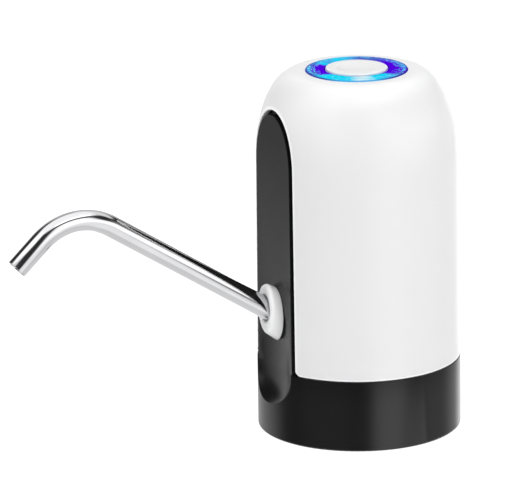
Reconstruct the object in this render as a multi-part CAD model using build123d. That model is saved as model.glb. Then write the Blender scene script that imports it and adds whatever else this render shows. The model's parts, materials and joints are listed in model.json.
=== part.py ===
from build123d import *
import os
from math import cos, radians, sin, sqrt, tan

# Bottled water pump: a rechargeable pump that stands on the neck of a large water bottle.
# Millimetres, +Z up. The origin is on the body's axis, at the bottom of the neck socket.
# The flat black panel and the steel spout are at the front, towards -Y.

# Whole body
BODY_RADIUS = 36.5
SEAM_HEIGHT = 25.9
FLANK_LEAN = 0.29
SHOULDER_HEIGHT = 99.2
SHOULDER_WIDTH = 14.41
SHOULDER_RISE = 31.2
SHELL_WALL = 2.2
FACET_INSET = 3.65

# Clearances and cuts
SEAT_GAP = 0.3
LINE_GAP = 0.1
RUNNING_GAP = 0.05
SEAM_GAP = 0.3
PANEL_GAP = 0.6
OVERRUN = 10.0

# Base housing
BASE_EDGE_RADIUS = 0.8
SKIRT_WALL = 2.2
DECK_TOP = 24.1
DECK_THICKNESS = 2.2
LIP_WALL = 1.8
LIP_HEIGHT = 5.4
SOCKET_INSET = 8.6
SOCKET_WALL = 2.7
SOCKET_RIB_COUNT = 12
SOCKET_RIB_THICKNESS = 1.6
SOCKET_RIB_BOTTOM = 1.5
PANEL_THICKNESS = 2.0
PANEL_RISE = 0.35
BACKING_THICKNESS = 2.2
SCOOP_SIDE_MARGIN = 1.6
SCOOP_CENTRE_HEIGHT = 23.6
SCOOP_DROP = 11.3
SCOOP_DEPTH = 1.8
SCOOP_FADE_LENGTH = 38.0
SCOOP_FADE_STEP = 0.05
SCOOP_BACK_WALL = 2.4
SHELL_CORNER_RADIUS = 3.0
SHELL_EDGE_ROUND = 0.4
SNAP_COUNT = 4
SNAP_LENGTH = 8.0
SNAP_RADIUS = 0.6

# Neck seal and grip
SEAL_WIDTH = 7.9
SEAL_THICKNESS = 1.6
SEAL_RECESS_DEPTH = 1.0
GRIP_BOTTOM = 12.0
GRIP_HEIGHT = 6.8
GRIP_THICKNESS = 1.2
GRIP_LIP = 0.5
GRIP_GROOVE_COUNT = 3
GRIP_GROOVE_RADIUS = 0.6

# Water ways
NIPPLE_RADIUS = 2.15
NIPPLE_BORE_RADIUS = 1.3
NIPPLE_LENGTH = 7.0
HOSE_OUTER_RADIUS = 3.3
HOSE_BEND_RADIUS = 6.0
HOSE_TURN_LENGTH = 4.8
INLET_STEM_RADIUS = 3.9
INLET_FLANGE_RADIUS = 6.2
INLET_FLANGE_THICKNESS = 1.5
INLET_NUT_HEIGHT = 2.2
INLET_TAIL_RADIUS = 3.0
INLET_TAIL_LENGTH = 7.7
INLET_TAIL_LEAD = 0.5

# Spout
SPOUT_HEIGHT = 44.9
SPOUT_RISE_ANGLE = 32.8
SPOUT_TUBE_RADIUS = 3.8
SPOUT_TUBE_WALL = 0.5
SPOUT_STRAIGHT = 74.0
SPOUT_BEND_RADIUS = 21.8
SPOUT_BEND_ANGLE = 75.8
SPOUT_TIP_LENGTH = 12.5
SLEEVE_WALL = 1.3
SLEEVE_FLANGE = 1.0
SLEEVE_LENGTH = 12.0
PORT_WALL = 2.4
PORT_FLOOR = 1.2
COLLAR_HALF_WIDTH = 7.0
COLLAR_HALF_HEIGHT = 9.8
COLLAR_PROUD = 3.95
COLLAR_TAPER = 0.5
COLLAR_EDGE_RADIUS = 1.2
COLLAR_HOLE_GAP = 0.5
COLLAR_TAIL_LENGTH = 3.0

# Button, light ring and board
RING_MARGIN = 3.6
RING_WIDTH = 7.2
RING_TOP = 131.0
RING_CROWN = 0.25
RING_FLANGE_WIDTH = 2.3
RING_FLANGE_THICKNESS = 1.2
BUTTON_TOP = 131.4
BUTTON_WALL = 1.4
BUTTON_FLANGE_WIDTH = 1.3
BUTTON_FLANGE_THICKNESS = 1.0
BUTTON_EDGE_RADIUS = 0.5
BUTTON_TRAVEL = 0.6
BUTTON_DISH_DEPTH = 0.35
BUTTON_DISH_RADIUS = 8.0
BOARD_MARGIN = 4.2
BOARD_THICKNESS = 1.6
BOARD_TOP = 121.0
BOARD_SCREW_INSET = 2.2
BOARD_SCREW_COUNT = 3
BOARD_BOSS_RADIUS = 3.0
SWITCH_WIDTH = 6.0
SWITCH_HEIGHT = 3.5
SWITCH_CORNER = 0.5
PLUNGER_RADIUS = 1.75
PLUNGER_HEIGHT = 0.8
LED_COUNT = 8
LED_SIZE = (3.5, 2.8, 1.9)
LED_DOME_RADIUS = 0.95
LED_DOME_HEIGHT = 0.55

# Screws
SCREW_SHANK_RADIUS = 1.0
SCREW_HEAD_RADIUS = 2.0
SCREW_HEAD_HEIGHT = 1.6
SCREW_HEAD_ROUND = 0.6
SCREW_HOLE_GAP = 0.1
SCREW_DEPTH = 5.0
SCREW_SLOT_WIDTH = 0.6
SCREW_SLOT_DEPTH = 0.7

# Motor and pump
PUMP_X = -14.0
PUMP_Y = 5.0
COVER_BOTTOM = 52.0
COVER_THICKNESS = 6.2
COVER_CHAMBER_DEPTH = 3.0
VALVE_THICKNESS = 2.2
VALVE_HOLE_RADIUS = 1.0
VALVE_HOLE_OFFSETS = (4.8, 7.8)
DIAPHRAGM_THICKNESS = 1.4
CASE_RADIUS = 13.5
CASE_WALL = 1.7
CASE_LENGTH = 14.7
CASE_END_WALL = 1.5
CASE_STEP = 0.55
LUG_RADIUS = 2.4
LUG_COUNT = 3
LUG_PHASE_ANGLE = 90.0
PORT_OFFSET = 6.5
PORT_ANGLE = 252.0
MOTOR_RADIUS = 12.2
MOTOR_LENGTH = 30.8
MOTOR_WALL = 0.8
MOTOR_BOSS_RADIUS = 5.0
MOTOR_BOSS_LENGTH = 1.4
MOTOR_CAP_THICKNESS = 2.0
SHAFT_RADIUS = 1.0
MAGNET_THICKNESS = 2.1
MAGNET_ANGLE = 140.0
MAGNET_LENGTH = 20.0
ROTOR_LENGTH = 18.0
ROTOR_GAP = 0.35
ROTOR_SLOT_COUNT = 3
ROTOR_SLOT_WIDTH = 2.4
ROTOR_SLOT_DEPTH = 4.2
COMMUTATOR_RADIUS = 3.0
COMMUTATOR_LENGTH = 4.0
TERMINAL_SIZE = (2.0, 0.5, 3.0)
TERMINAL_OFFSET = 7.0
ECCENTRIC_RADIUS = 5.5
ECCENTRIC_THICKNESS = 3.6
ECCENTRIC_SETBACK = 1.0
SHAFT_SEAT = 1.2
PIN_SEAT = 0.9
PIN_RADIUS = 0.9
PIN_TILT = 6.0
PLATE_RADIUS = 9.4
PLATE_THICKNESS = 1.4
PLATE_HUB_RADIUS = 3.0
PLATE_HUB_LENGTH = 4.6
PLATE_NOTCH_RADIUS = 3.4
CUP_COUNT = 3
CUP_OFFSET = 6.6
CUP_RADIUS = 3.6
CUP_STEM_RADIUS = 1.4
CUP_SHARE = 0.62

# Battery and chassis
BATTERY_RADIUS = 9.2
BATTERY_LENGTH = 65.0
BATTERY_X = 17.0
BATTERY_Y = 6.0
BATTERY_HEADROOM = 12.4
BATTERY_CAP_RADIUS = 2.75
BATTERY_CAP_HEIGHT = 1.0
BATTERY_GROOVE_DEPTH = 0.5
BATTERY_GROOVE_WIDTH = 2.0
SPINE_X = 4.2
SPINE_THICKNESS = 2.0
SPINE_FRONT = -13.0
SPINE_BACK = 16.0
SPINE_TOP = 112.0
SPINE_WINDOW_WIDTH = 12.0
SPINE_WINDOW_COUNT = 3
SPINE_WINDOW_SHARE = 0.62
CLIP_WALL = 1.8
CLIP_HEIGHT = 5.0
CLIP_SHARES = (0.2, 0.8)
BRIDGE_HALF_WIDTH = 4.1
CLIP_MOUTH_ANGLE = 110.0
FOOT_WIDTH = 12.0
FOOT_THICKNESS = 2.4
FOOT_SCREW_SHARES = (0.18, 0.82)
BATTERY_SHELF_THICKNESS = 2.0
BATTERY_SHELF_HALF_WIDTH = 4.6

# Charging socket
USB_RISE = 11.5
USB_WIDTH = 7.5
USB_THICKNESS = 2.6
USB_DEPTH = 5.6
USB_WALL = 0.3
USB_CORNER = 0.65
USB_TONGUE_THICKNESS = 0.6
USB_INSET = 1.2
USB_WINDOW_GAP = 0.6
CHARGE_BOARD_WIDTH = 16.0
CHARGE_BOARD_LENGTH = 15.0
CHARGE_BOARD_THICKNESS = 1.2
CHARGE_POST_RADIUS = 2.0
CHARGE_POST_INSET = 3.0

# Leads
LEAD_RADIUS = 0.6
LEAD_SPACING = 3.0
LEAD_BEND_RADIUS = 3.0
LEAD_RISE = 6.0
BATTERY_LEAD_X = 9.0
BATTERY_LEAD_Y = 2.0
MOTOR_LEAD_Y = -2.0
CHARGE_LEAD_INSET = 2.9
CHARGE_LEAD_SHIFT = 3.0
CHARGE_LEAD_HEIGHTS = (60.0, 80.0)

# Sizes that follow from the ones above
SHOULDER_RADIUS = BODY_RADIUS - FLANK_LEAN
SHOULDER_CENTRE_RADIUS = SHOULDER_RADIUS - SHOULDER_WIDTH
SHELL_INNER_RADIUS = BODY_RADIUS - SHELL_WALL
SHELL_TOP = SHOULDER_HEIGHT + SHOULDER_RISE
FACET_DEPTH = BODY_RADIUS - FACET_INSET
FACET_HALF_WIDTH = sqrt(BODY_RADIUS**2 - FACET_DEPTH**2)
PANEL_FRONT = FACET_DEPTH + PANEL_RISE
SCOOP_HALF_WIDTH = FACET_HALF_WIDTH - SCOOP_SIDE_MARGIN
SCOOP_FLOOR = FACET_DEPTH - SCOOP_DEPTH
DECK_BOTTOM = DECK_TOP - DECK_THICKNESS
LIP_TOP = DECK_TOP + LIP_HEIGHT
SOCKET_RADIUS = BODY_RADIUS - SOCKET_INSET
SEAL_INNER_RADIUS = SOCKET_RADIUS - SEAL_WIDTH
SOCKET_OUTER_RADIUS = SOCKET_RADIUS + SOCKET_WALL
SLEEVE_OUTER_RADIUS = SPOUT_TUBE_RADIUS + RUNNING_GAP + SLEEVE_WALL
PORT_BORE_RADIUS = SLEEVE_OUTER_RADIUS + RUNNING_GAP
COLLAR_HOLE_RADIUS = SPOUT_TUBE_RADIUS + COLLAR_HOLE_GAP
SLEEVE_START = COLLAR_TAIL_LENGTH + SEAT_GAP
PORT_DEPTH = SLEEVE_START + SLEEVE_LENGTH + SEAT_GAP
TUBE_END_DEPTH = SLEEVE_START + SLEEVE_LENGTH - SLEEVE_FLANGE - SEAT_GAP
HOSE_INNER_RADIUS = NIPPLE_RADIUS + RUNNING_GAP
VALVE_BOTTOM = COVER_BOTTOM + COVER_THICKNESS
DIAPHRAGM_BOTTOM = VALVE_BOTTOM + VALVE_THICKNESS
CASE_BOTTOM = DIAPHRAGM_BOTTOM
CASE_TOP = CASE_BOTTOM + CASE_LENGTH + CASE_END_WALL
CASE_INNER_RADIUS = CASE_RADIUS - CASE_WALL
MOTOR_BOTTOM = CASE_TOP + LINE_GAP
MOTOR_TOP = MOTOR_BOTTOM + MOTOR_LENGTH
LUG_CENTRE_RADIUS = CASE_RADIUS
ECCENTRIC_TOP = CASE_TOP - CASE_END_WALL - ECCENTRIC_SETBACK
ECCENTRIC_BOTTOM = ECCENTRIC_TOP - ECCENTRIC_THICKNESS
WOBBLE_CENTRE_HEIGHT = DIAPHRAGM_BOTTOM + DIAPHRAGM_THICKNESS
HUB_TOP = ECCENTRIC_BOTTOM - PLATE_HUB_RADIUS * sin(radians(PIN_TILT)) - SEAT_GAP
HUB_BOTTOM = HUB_TOP - PLATE_HUB_LENGTH
RING_RADIUS = SHOULDER_CENTRE_RADIUS - RING_MARGIN
BUTTON_RADIUS = RING_RADIUS - RING_WIDTH
RING_INNER_RADIUS = BUTTON_RADIUS + SEAT_GAP
BOARD_RADIUS = SHOULDER_CENTRE_RADIUS + BOARD_MARGIN
BOARD_SCREW_RADIUS = BOARD_RADIUS - BOARD_SCREW_INSET
RING_SEAT = SHELL_TOP - SHELL_WALL
RING_FLANGE_TOP = RING_SEAT - LINE_GAP
RING_BOTTOM = RING_FLANGE_TOP - RING_FLANGE_THICKNESS
BUTTON_FLANGE_TOP = RING_BOTTOM - LINE_GAP
PLUNGER_TOP = BOARD_TOP + SWITCH_HEIGHT + PLUNGER_HEIGHT
BATTERY_BOTTOM = BOARD_TOP - BOARD_THICKNESS - BATTERY_HEADROOM - BATTERY_LENGTH
USB_HEIGHT = DECK_TOP + USB_RISE
CHARGE_BOARD_TOP = USB_HEIGHT - USB_THICKNESS / 2
CHARGE_BOARD_BACK = SHELL_INNER_RADIUS - USB_INSET
CHARGE_LEAD_LOW_Y = CHARGE_BOARD_BACK - CHARGE_BOARD_LENGTH + CHARGE_LEAD_INSET
CHARGE_LEAD_HIGH_Y = CHARGE_LEAD_LOW_Y - CHARGE_LEAD_SHIFT


def cylinder(radius, bottom, top, x=0, y=0):
    """A round bar that stands between two heights."""
    return Pos(x, y, (bottom + top) / 2) * Cylinder(radius, top - bottom)


def tube(outer, inner, bottom, top, x=0, y=0):
    """A round pipe that stands between two heights."""
    return cylinder(outer, bottom, top, x, y) - cylinder(inner, bottom - OVERRUN, top + OVERRUN, x, y)


def block(low, high):
    """A box between its lowest and its highest corner."""
    size = [b - a for a, b in zip(low, high)]
    middle = [(a + b) / 2 for a, b in zip(low, high)]
    return Pos(*middle) * Box(*size)


def wedge(angle, reach, bottom, top):
    """A prism that opens from the Z axis towards +X, by an angle."""
    half = reach * tan(radians(angle / 2))
    outline = Polyline((0, 0), (reach, half), (reach, -half), close=True)
    return extrude(Pos(0, 0, bottom) * make_face(outline), amount=top - bottom)


def around(count, radius, height=0, phase=0):
    """Evenly spaced places on a circle, each turned to face outwards."""
    step = 360 / count
    return [Rot(0, 0, phase + i * step) * Pos(radius, 0, height) for i in range(count)]


def profile_solid(points):
    """A solid turned about the Z axis from points of radius and height."""
    return revolve(Plane.XZ * make_face(Polyline(*points, close=True)), Axis.Z)


def flank_radius(height):
    """The body's radius at a height below the shoulder, where the side leans in a little."""
    lean = (BODY_RADIUS - SHOULDER_RADIUS) / (SHOULDER_HEIGHT - SEAM_HEIGHT)
    return BODY_RADIUS - lean * (height - SEAM_HEIGHT)


def body_form(inset, bottom):
    """The body's outer form, drawn in by an inset on every side."""
    across = SHOULDER_RADIUS - SHOULDER_CENTRE_RADIUS - inset
    rise = SHOULDER_RISE - inset
    low = flank_radius(bottom) - inset
    flank = Line((low, bottom), (SHOULDER_RADIUS - inset, SHOULDER_HEIGHT))
    shoulder = EllipticalCenterArc(
        (SHOULDER_CENTRE_RADIUS, SHOULDER_HEIGHT), across, rise, start_angle=0, arc_size=90
    )
    top = Polyline(shoulder @ 1, (0, SHOULDER_HEIGHT + rise), (0, bottom), flank @ 0)
    return revolve(Plane.XZ * make_face([flank, shoulder, top]), Axis.Z)


def front_slab(front, back):
    """The space between two upright planes at the front of the body."""
    return block((-BODY_RADIUS, -front, 0), (BODY_RADIUS, -back, RING_TOP + OVERRUN))


def arch_plate(inset, front, back, bottom):
    """A plate with the outline that the flat front cuts in the body's form."""
    face_plane = Plane((0, -FACET_DEPTH, 0), x_dir=(1, 0, 0), z_dir=(0, -1, 0))
    face = section(body_form(inset, bottom), section_by=face_plane)
    plate = extrude(face, amount=FACET_DEPTH - back, dir=(0, 1, 0))
    if front > FACET_DEPTH:
        plate += extrude(face, amount=front - FACET_DEPTH, dir=(0, -1, 0))
    return plate


def spout_frame(depth):
    """A plane square to the spout's straight run, at a depth behind the flat front."""
    rise = radians(SPOUT_RISE_ANGLE)
    origin = (0, -FACET_DEPTH + depth * cos(rise), SPOUT_HEIGHT - depth * sin(rise))
    return Plane(origin, x_dir=(1, 0, 0), z_dir=(0, cos(rise), -sin(rise)))


def spout_bar(radius, start, end):
    """A round bar along the spout's straight run, between two depths."""
    return extrude(spout_frame(start) * Circle(radius), amount=end - start)


def hose(points, outer, inner, bend):
    """A hollow hose along straight runs joined by tangent arcs."""
    path = FilletPolyline(*points, radius=bend)
    start = Plane(origin=path @ 0, z_dir=path % 0)
    return sweep(start * (Circle(outer) - Circle(inner)), path=path)


def lead(points):
    """One insulated wire along straight runs joined by tangent arcs."""
    path = FilletPolyline(*points, radius=LEAD_BEND_RADIUS)
    return sweep(Plane(origin=path @ 0, z_dir=path % 0) * Circle(LEAD_RADIUS), path=path)


def screw(height, up=True):
    """A pan head screw whose head bears at a height, with its shank up or down."""
    shank = cylinder(SCREW_SHANK_RADIUS, 0, SCREW_DEPTH)
    head = cylinder(SCREW_HEAD_RADIUS, -SCREW_HEAD_HEIGHT, 0)
    head = fillet(head.edges().group_by(Axis.Z)[0], SCREW_HEAD_ROUND)
    slot_bottom = -SCREW_HEAD_HEIGHT - OVERRUN
    half = SCREW_SLOT_WIDTH / 2
    slot_top = SCREW_SLOT_DEPTH - SCREW_HEAD_HEIGHT
    for angle in (0, 90):
        head -= Rot(0, 0, angle) * block(
            (-SCREW_HEAD_RADIUS, -half, slot_bottom), (SCREW_HEAD_RADIUS, half, slot_top)
        )
    whole = shank + head
    return Pos(0, 0, height) * (whole if up else Rot(180, 0, 0) * whole)


def pump_axis():
    """The place of the motor's and pump's shared axis."""
    return Pos(PUMP_X, PUMP_Y, 0)


def snap_bars(growth):
    """Short round bars on the lip that click into the shell."""
    height = (DECK_TOP + LIP_TOP) / 2 + SEAM_GAP
    bars = []
    for place in around(SNAP_COUNT, SHELL_INNER_RADIUS - SEAT_GAP, height, phase=180 / SNAP_COUNT):
        bar = Cylinder(SNAP_RADIUS + growth, SNAP_LENGTH + growth)
        bars.append(place * Rot(90, 0, 0) * bar)
    return bars


def outer_shell():
    """The white cover, with the arched slot for the panel and the seats inside."""
    shell = body_form(0, SEAM_HEIGHT) - body_form(SHELL_WALL, SEAM_HEIGHT - OVERRUN)
    shell -= arch_plate(0, FACET_DEPTH + OVERRUN, FACET_DEPTH - OVERRUN, SEAM_HEIGHT - OVERRUN)
    slot_edges = [e for e in shell.edges() if abs(e.center().Y + FACET_DEPTH) < LINE_GAP]
    shell = fillet(slot_edges, SHELL_EDGE_ROUND) - rim_cutter()
    for side in (-1, 1):
        shell -= slot_corner(side)
    shell -= cylinder(RING_RADIUS + LINE_GAP, RING_SEAT - OVERRUN, RING_TOP + OVERRUN)
    for place in board_screw_places():
        shell += place * board_boss() & body_form(SHELL_WALL / 2, SEAM_HEIGHT)
    for bar in snap_bars(SEAT_GAP):
        shell -= bar
    return shell - usb_window()


def rim_cutter():
    """What the rounding of the shell's bottom rim takes away."""
    inner = BODY_RADIUS - SHELL_EDGE_ROUND
    middle = SEAM_HEIGHT + SHELL_EDGE_ROUND
    ring = tube(BODY_RADIUS + OVERRUN, inner, SEAM_HEIGHT - OVERRUN, middle)
    return ring - Pos(0, 0, middle) * Torus(inner, SHELL_EDGE_ROUND)


def slot_corner(side):
    """What the arc at one bottom corner of the shell's slot takes away."""
    front = FACET_DEPTH + OVERRUN
    top = SEAM_HEIGHT + SHELL_CORNER_RADIUS
    start = sqrt(flank_radius(top) ** 2 - FACET_DEPTH**2)
    low = (-SHELL_CORNER_RADIUS, -front, SEAM_HEIGHT - OVERRUN)
    corner = Pos(side * start, 0, 0) * block(low, (SHELL_CORNER_RADIUS, OVERRUN - FACET_DEPTH, top))
    bar = Rot(90, 0, 0) * Cylinder(SHELL_CORNER_RADIUS, 2 * front)
    return corner - Pos(side * (start + SHELL_CORNER_RADIUS), 0, top) * bar


def board_screw_places():
    """Where the control board is screwed to the shell's bosses."""
    return around(BOARD_SCREW_COUNT, BOARD_SCREW_RADIUS, phase=90)


def board_boss():
    """One boss under the shell's top, bored for a board screw."""
    boss = cylinder(BOARD_BOSS_RADIUS, BOARD_TOP, SHELL_TOP)
    boss -= cylinder(SCREW_SHANK_RADIUS + SCREW_HOLE_GAP, BOARD_TOP - OVERRUN, BOARD_TOP + SCREW_DEPTH)
    return boss


def usb_window():
    """The rounded window at the back that the charging plug goes through."""
    width = USB_WIDTH + 2 * USB_WINDOW_GAP
    tall = USB_THICKNESS + 2 * USB_WINDOW_GAP
    face = Plane((0, 0, USB_HEIGHT), x_dir=(1, 0, 0), z_dir=(0, 1, 0)) * SlotOverall(width, tall)
    return Pos(0, BODY_RADIUS - SHELL_WALL - SHELL_WALL, 0) * extrude(face, amount=OVERRUN)


def base_ring():
    """The skirt, deck, lip and neck socket, turned in one profile each."""
    skirt = tube(BODY_RADIUS, BODY_RADIUS - SKIRT_WALL, 0, SEAM_HEIGHT - SEAM_GAP)
    skirt = fillet(skirt.edges().group_by(Axis.Z)[0].sort_by(SortBy.RADIUS)[-1], BASE_EDGE_RADIUS)
    lip_radius = SHELL_INNER_RADIUS - SEAT_GAP
    ring = skirt + cylinder(BODY_RADIUS - SKIRT_WALL, DECK_BOTTOM, DECK_TOP)
    ring += tube(lip_radius, lip_radius - LIP_WALL, DECK_BOTTOM, LIP_TOP)
    ledge_top = SEAM_HEIGHT - SEAM_GAP
    ring += tube(BODY_RADIUS - SKIRT_WALL, lip_radius - LIP_WALL, DECK_BOTTOM, ledge_top)
    ring += tube(SOCKET_OUTER_RADIUS, SOCKET_RADIUS, 0, DECK_TOP)
    recess_top = DECK_BOTTOM - SEAL_THICKNESS - SEAT_GAP
    ring -= tube(SOCKET_RADIUS + SEAL_RECESS_DEPTH, SEAL_INNER_RADIUS, recess_top, DECK_BOTTOM)
    groove = SOCKET_RADIUS + GRIP_THICKNESS
    ring -= tube(groove, SOCKET_RADIUS - OVERRUN, GRIP_BOTTOM, GRIP_BOTTOM + GRIP_HEIGHT)
    return ring


def socket_ribs():
    """Radial ribs that brace the neck socket inside the skirt."""
    ribs = []
    half = SOCKET_RIB_THICKNESS / 2
    inner = SOCKET_RADIUS + SOCKET_WALL / 2 + GRIP_THICKNESS / 2
    outer = BODY_RADIUS - SKIRT_WALL / 2
    top = DECK_TOP - DECK_THICKNESS / 2
    for place in around(SOCKET_RIB_COUNT, 0, 0, phase=180 / SOCKET_RIB_COUNT):
        ribs.append(place * block((inner, -half, SOCKET_RIB_BOTTOM), (outer, half, top)))
    return ribs


def scoop_section(height, depth, rim, front):
    """A level face in front of the scoop's floor, which is an arc between its two sides."""
    sag = rim - depth
    radius = (SCOOP_HALF_WIDTH**2 + sag**2) / (2 * sag)
    half = SCOOP_HALF_WIDTH + PANEL_GAP
    end = depth + radius - sqrt(radius**2 - half**2)
    floor = ThreePointArc((-half, -end), (0, -depth), (half, -end))
    sides = Polyline(floor @ 1, (half, -front), (-half, -front), floor @ 0)
    return Pos(0, 0, height) * make_face([floor, sides])


def scoop_cutter():
    """The finger scoop: a bowl in the base whose hollow fades out up the panel."""
    rim = sqrt(BODY_RADIUS**2 - SCOOP_HALF_WIDTH**2)
    front = (BODY_RADIUS**2 + SCOOP_DROP**2 - SCOOP_FLOOR**2) / (2 * (BODY_RADIUS - SCOOP_FLOOR))
    section_face = scoop_section(SCOOP_CENTRE_HEIGHT, SCOOP_FLOOR, rim, front)
    bowl = revolve(section_face, Axis((0, -front, SCOOP_CENTRE_HEIGHT), (-1, 0, 0)), 90)
    start = PANEL_FRONT + SCOOP_FADE_STEP
    top = SCOOP_CENTRE_HEIGHT + SCOOP_FADE_LENGTH
    top_face = scoop_section(top, start, start + SCOOP_FADE_STEP, front)
    return bowl + loft([section_face, top_face], ruled=True)


def collar_outline(growth):
    """The oval of the collar's foot, drawn larger or smaller, on the flat front."""
    upright = Plane((0, -FACET_DEPTH, SPOUT_HEIGHT), x_dir=(1, 0, 0), z_dir=(0, 1, 0))
    return upright * Ellipse(COLLAR_HALF_WIDTH + growth, COLLAR_HALF_HEIGHT + growth)


def collar_pad():
    """The flat pad that the collar stands on, in the scoop's fading hollow."""
    return extrude(collar_outline(-SEAT_GAP), amount=PANEL_THICKNESS)


def collar_seat():
    """The shallow oval seat round the collar's foot, cut from the panel's face."""
    return extrude(collar_outline(SEAT_GAP), amount=-OVERRUN)


def scoop_backing():
    """Solid stock between the socket and the skirt, behind the scoop."""
    bottom = SCOOP_CENTRE_HEIGHT - SCOOP_DROP - SCOOP_BACK_WALL
    stock = cylinder(BODY_RADIUS - SKIRT_WALL / 2, bottom, DECK_TOP)
    stock -= cylinder(SOCKET_OUTER_RADIUS - GRIP_THICKNESS / 2, -OVERRUN, DECK_TOP + OVERRUN)
    reach = SCOOP_HALF_WIDTH + SCOOP_BACK_WALL
    return stock & block((-reach, -BODY_RADIUS, 0), (reach, 0, DECK_TOP))


def front_panel():
    """The flat arched panel, a little in front of the slot's edge, with a lip behind the shell."""
    bottom = DECK_BOTTOM
    plate = arch_plate(PANEL_GAP, PANEL_FRONT, FACET_DEPTH - PANEL_THICKNESS, bottom)
    lip_front = FACET_DEPTH - PANEL_THICKNESS + SEAT_GAP
    lip = body_form(SHELL_WALL + SEAT_GAP, bottom) & front_slab(lip_front, lip_front - BACKING_THICKNESS)
    return plate + lip


def spout_port():
    """The tubular port behind the panel, with its nipple for the hose."""
    port = spout_bar(PORT_BORE_RADIUS + PORT_WALL, 0, PORT_DEPTH + PORT_FLOOR)
    port &= front_slab(FACET_DEPTH, -BODY_RADIUS)
    return port + spout_bar(NIPPLE_RADIUS, PORT_DEPTH, PORT_DEPTH + PORT_FLOOR + NIPPLE_LENGTH)


def charge_posts():
    """Two posts on the deck that carry the charging board."""
    posts = []
    x = CHARGE_BOARD_WIDTH / 2 - CHARGE_POST_INSET
    front = CHARGE_BOARD_BACK - CHARGE_BOARD_LENGTH + CHARGE_POST_INSET
    bottom = DECK_TOP - DECK_THICKNESS / 2
    top = CHARGE_BOARD_TOP - CHARGE_BOARD_THICKNESS - LINE_GAP
    for side in (-1, 1):
        for y in (front, front + USB_DEPTH):
            posts.append(cylinder(CHARGE_POST_RADIUS, bottom, top, side * x, y))
    return posts


def foot_screw_places():
    """Where the chassis is screwed down to the deck."""
    length = SPINE_BACK - SPINE_FRONT
    x = SPINE_X + SPINE_THICKNESS + FOOT_WIDTH / 2
    return [(x, SPINE_FRONT + share * length) for share in FOOT_SCREW_SHARES]


def base_housing():
    """The black moulding: base, scoop, flat front panel and spout port in one."""
    base = base_ring()
    for rib in socket_ribs():
        base += rib
    base += scoop_backing() + front_panel()
    base -= scoop_cutter()
    base -= collar_seat()
    base += collar_pad() + spout_port()
    base -= spout_bar(PORT_BORE_RADIUS, -OVERRUN, PORT_DEPTH)
    base -= spout_bar(NIPPLE_BORE_RADIUS, 0, PORT_DEPTH + PORT_FLOOR + NIPPLE_LENGTH + OVERRUN)
    base -= cylinder(INLET_STEM_RADIUS + LINE_GAP, DECK_BOTTOM - OVERRUN, DECK_TOP + OVERRUN)
    hole = SCREW_SHANK_RADIUS + SCREW_HOLE_GAP
    for x, y in foot_screw_places():
        base -= cylinder(hole, DECK_BOTTOM - OVERRUN, DECK_TOP + OVERRUN, x, y)
    for post in charge_posts():
        base += post
    for bar in snap_bars(0):
        base += bar
    return base


def neck_seal():
    """The flat soft ring that the bottle's rim presses on."""
    top = DECK_BOTTOM - LINE_GAP
    outer = SOCKET_RADIUS + SEAL_RECESS_DEPTH - SEAT_GAP
    return tube(outer, SEAL_INNER_RADIUS, top - SEAL_THICKNESS, top)


def neck_grip():
    """The soft ribbed sleeve that grips the bottle's neck."""
    bottom = GRIP_BOTTOM + LINE_GAP
    top = GRIP_BOTTOM + GRIP_HEIGHT - LINE_GAP
    inner = SOCKET_RADIUS - GRIP_LIP
    grip = tube(SOCKET_RADIUS + GRIP_THICKNESS - LINE_GAP, inner, bottom, top)
    pitch = (top - bottom) / (GRIP_GROOVE_COUNT + 1)
    for i in range(GRIP_GROOVE_COUNT):
        grip -= Pos(0, 0, bottom + (i + 1) * pitch) * Torus(inner, GRIP_GROOVE_RADIUS)
    return grip


def inlet_fitting():
    """The hose fitting through the deck: a flange, a stem and a nipple each way."""
    flange_top = DECK_BOTTOM - LINE_GAP
    flange = cylinder(INLET_FLANGE_RADIUS, flange_top - INLET_FLANGE_THICKNESS, flange_top)
    nut_top = DECK_TOP + INLET_NUT_HEIGHT
    fitting = flange + cylinder(INLET_STEM_RADIUS, flange_top, nut_top + LINE_GAP)
    fitting += cylinder(NIPPLE_RADIUS, nut_top, nut_top + NIPPLE_LENGTH)
    tail_bottom = flange_top - INLET_FLANGE_THICKNESS - INLET_TAIL_LENGTH
    tail = cylinder(INLET_TAIL_RADIUS, tail_bottom, flange_top)
    tail = chamfer(tail.edges().group_by(Axis.Z)[0], INLET_TAIL_LEAD)
    fitting += tail
    return fitting - cylinder(NIPPLE_BORE_RADIUS, -OVERRUN, nut_top + NIPPLE_LENGTH + OVERRUN)


def inlet_nut():
    """The six-sided nut that holds the inlet fitting on the deck."""
    outline = Pos(0, 0, DECK_TOP + LINE_GAP) * RegularPolygon(INLET_FLANGE_RADIUS, 6)
    nut = extrude(outline, amount=INLET_NUT_HEIGHT - LINE_GAP)
    return nut - cylinder(INLET_STEM_RADIUS + RUNNING_GAP, 0, DECK_TOP + INLET_NUT_HEIGHT + OVERRUN)


def spout_collar():
    """The oval collar that the spout comes out of, slanted along the spout."""
    rise = tan(radians(SPOUT_RISE_ANGLE))
    upright = Plane((0, -FACET_DEPTH, SPOUT_HEIGHT), x_dir=(1, 0, 0), z_dir=(0, -1, 0))
    back = upright * Ellipse(COLLAR_HALF_WIDTH, COLLAR_HALF_HEIGHT)
    front = upright * Pos(0, COLLAR_PROUD * rise, COLLAR_PROUD) * Ellipse(
        COLLAR_HALF_WIDTH - COLLAR_TAPER, COLLAR_HALF_HEIGHT - COLLAR_TAPER
    )
    collar = loft([back.faces()[0], front.faces()[0]])
    collar = fillet(collar.faces().sort_by(Axis.Y)[0].edges(), COLLAR_EDGE_RADIUS)
    collar += spout_bar(PORT_BORE_RADIUS - LINE_GAP, -COLLAR_PROUD / 2, COLLAR_TAIL_LENGTH)
    return collar - spout_bar(COLLAR_HOLE_RADIUS, -2 * OVERRUN, COLLAR_TAIL_LENGTH + OVERRUN)


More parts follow.
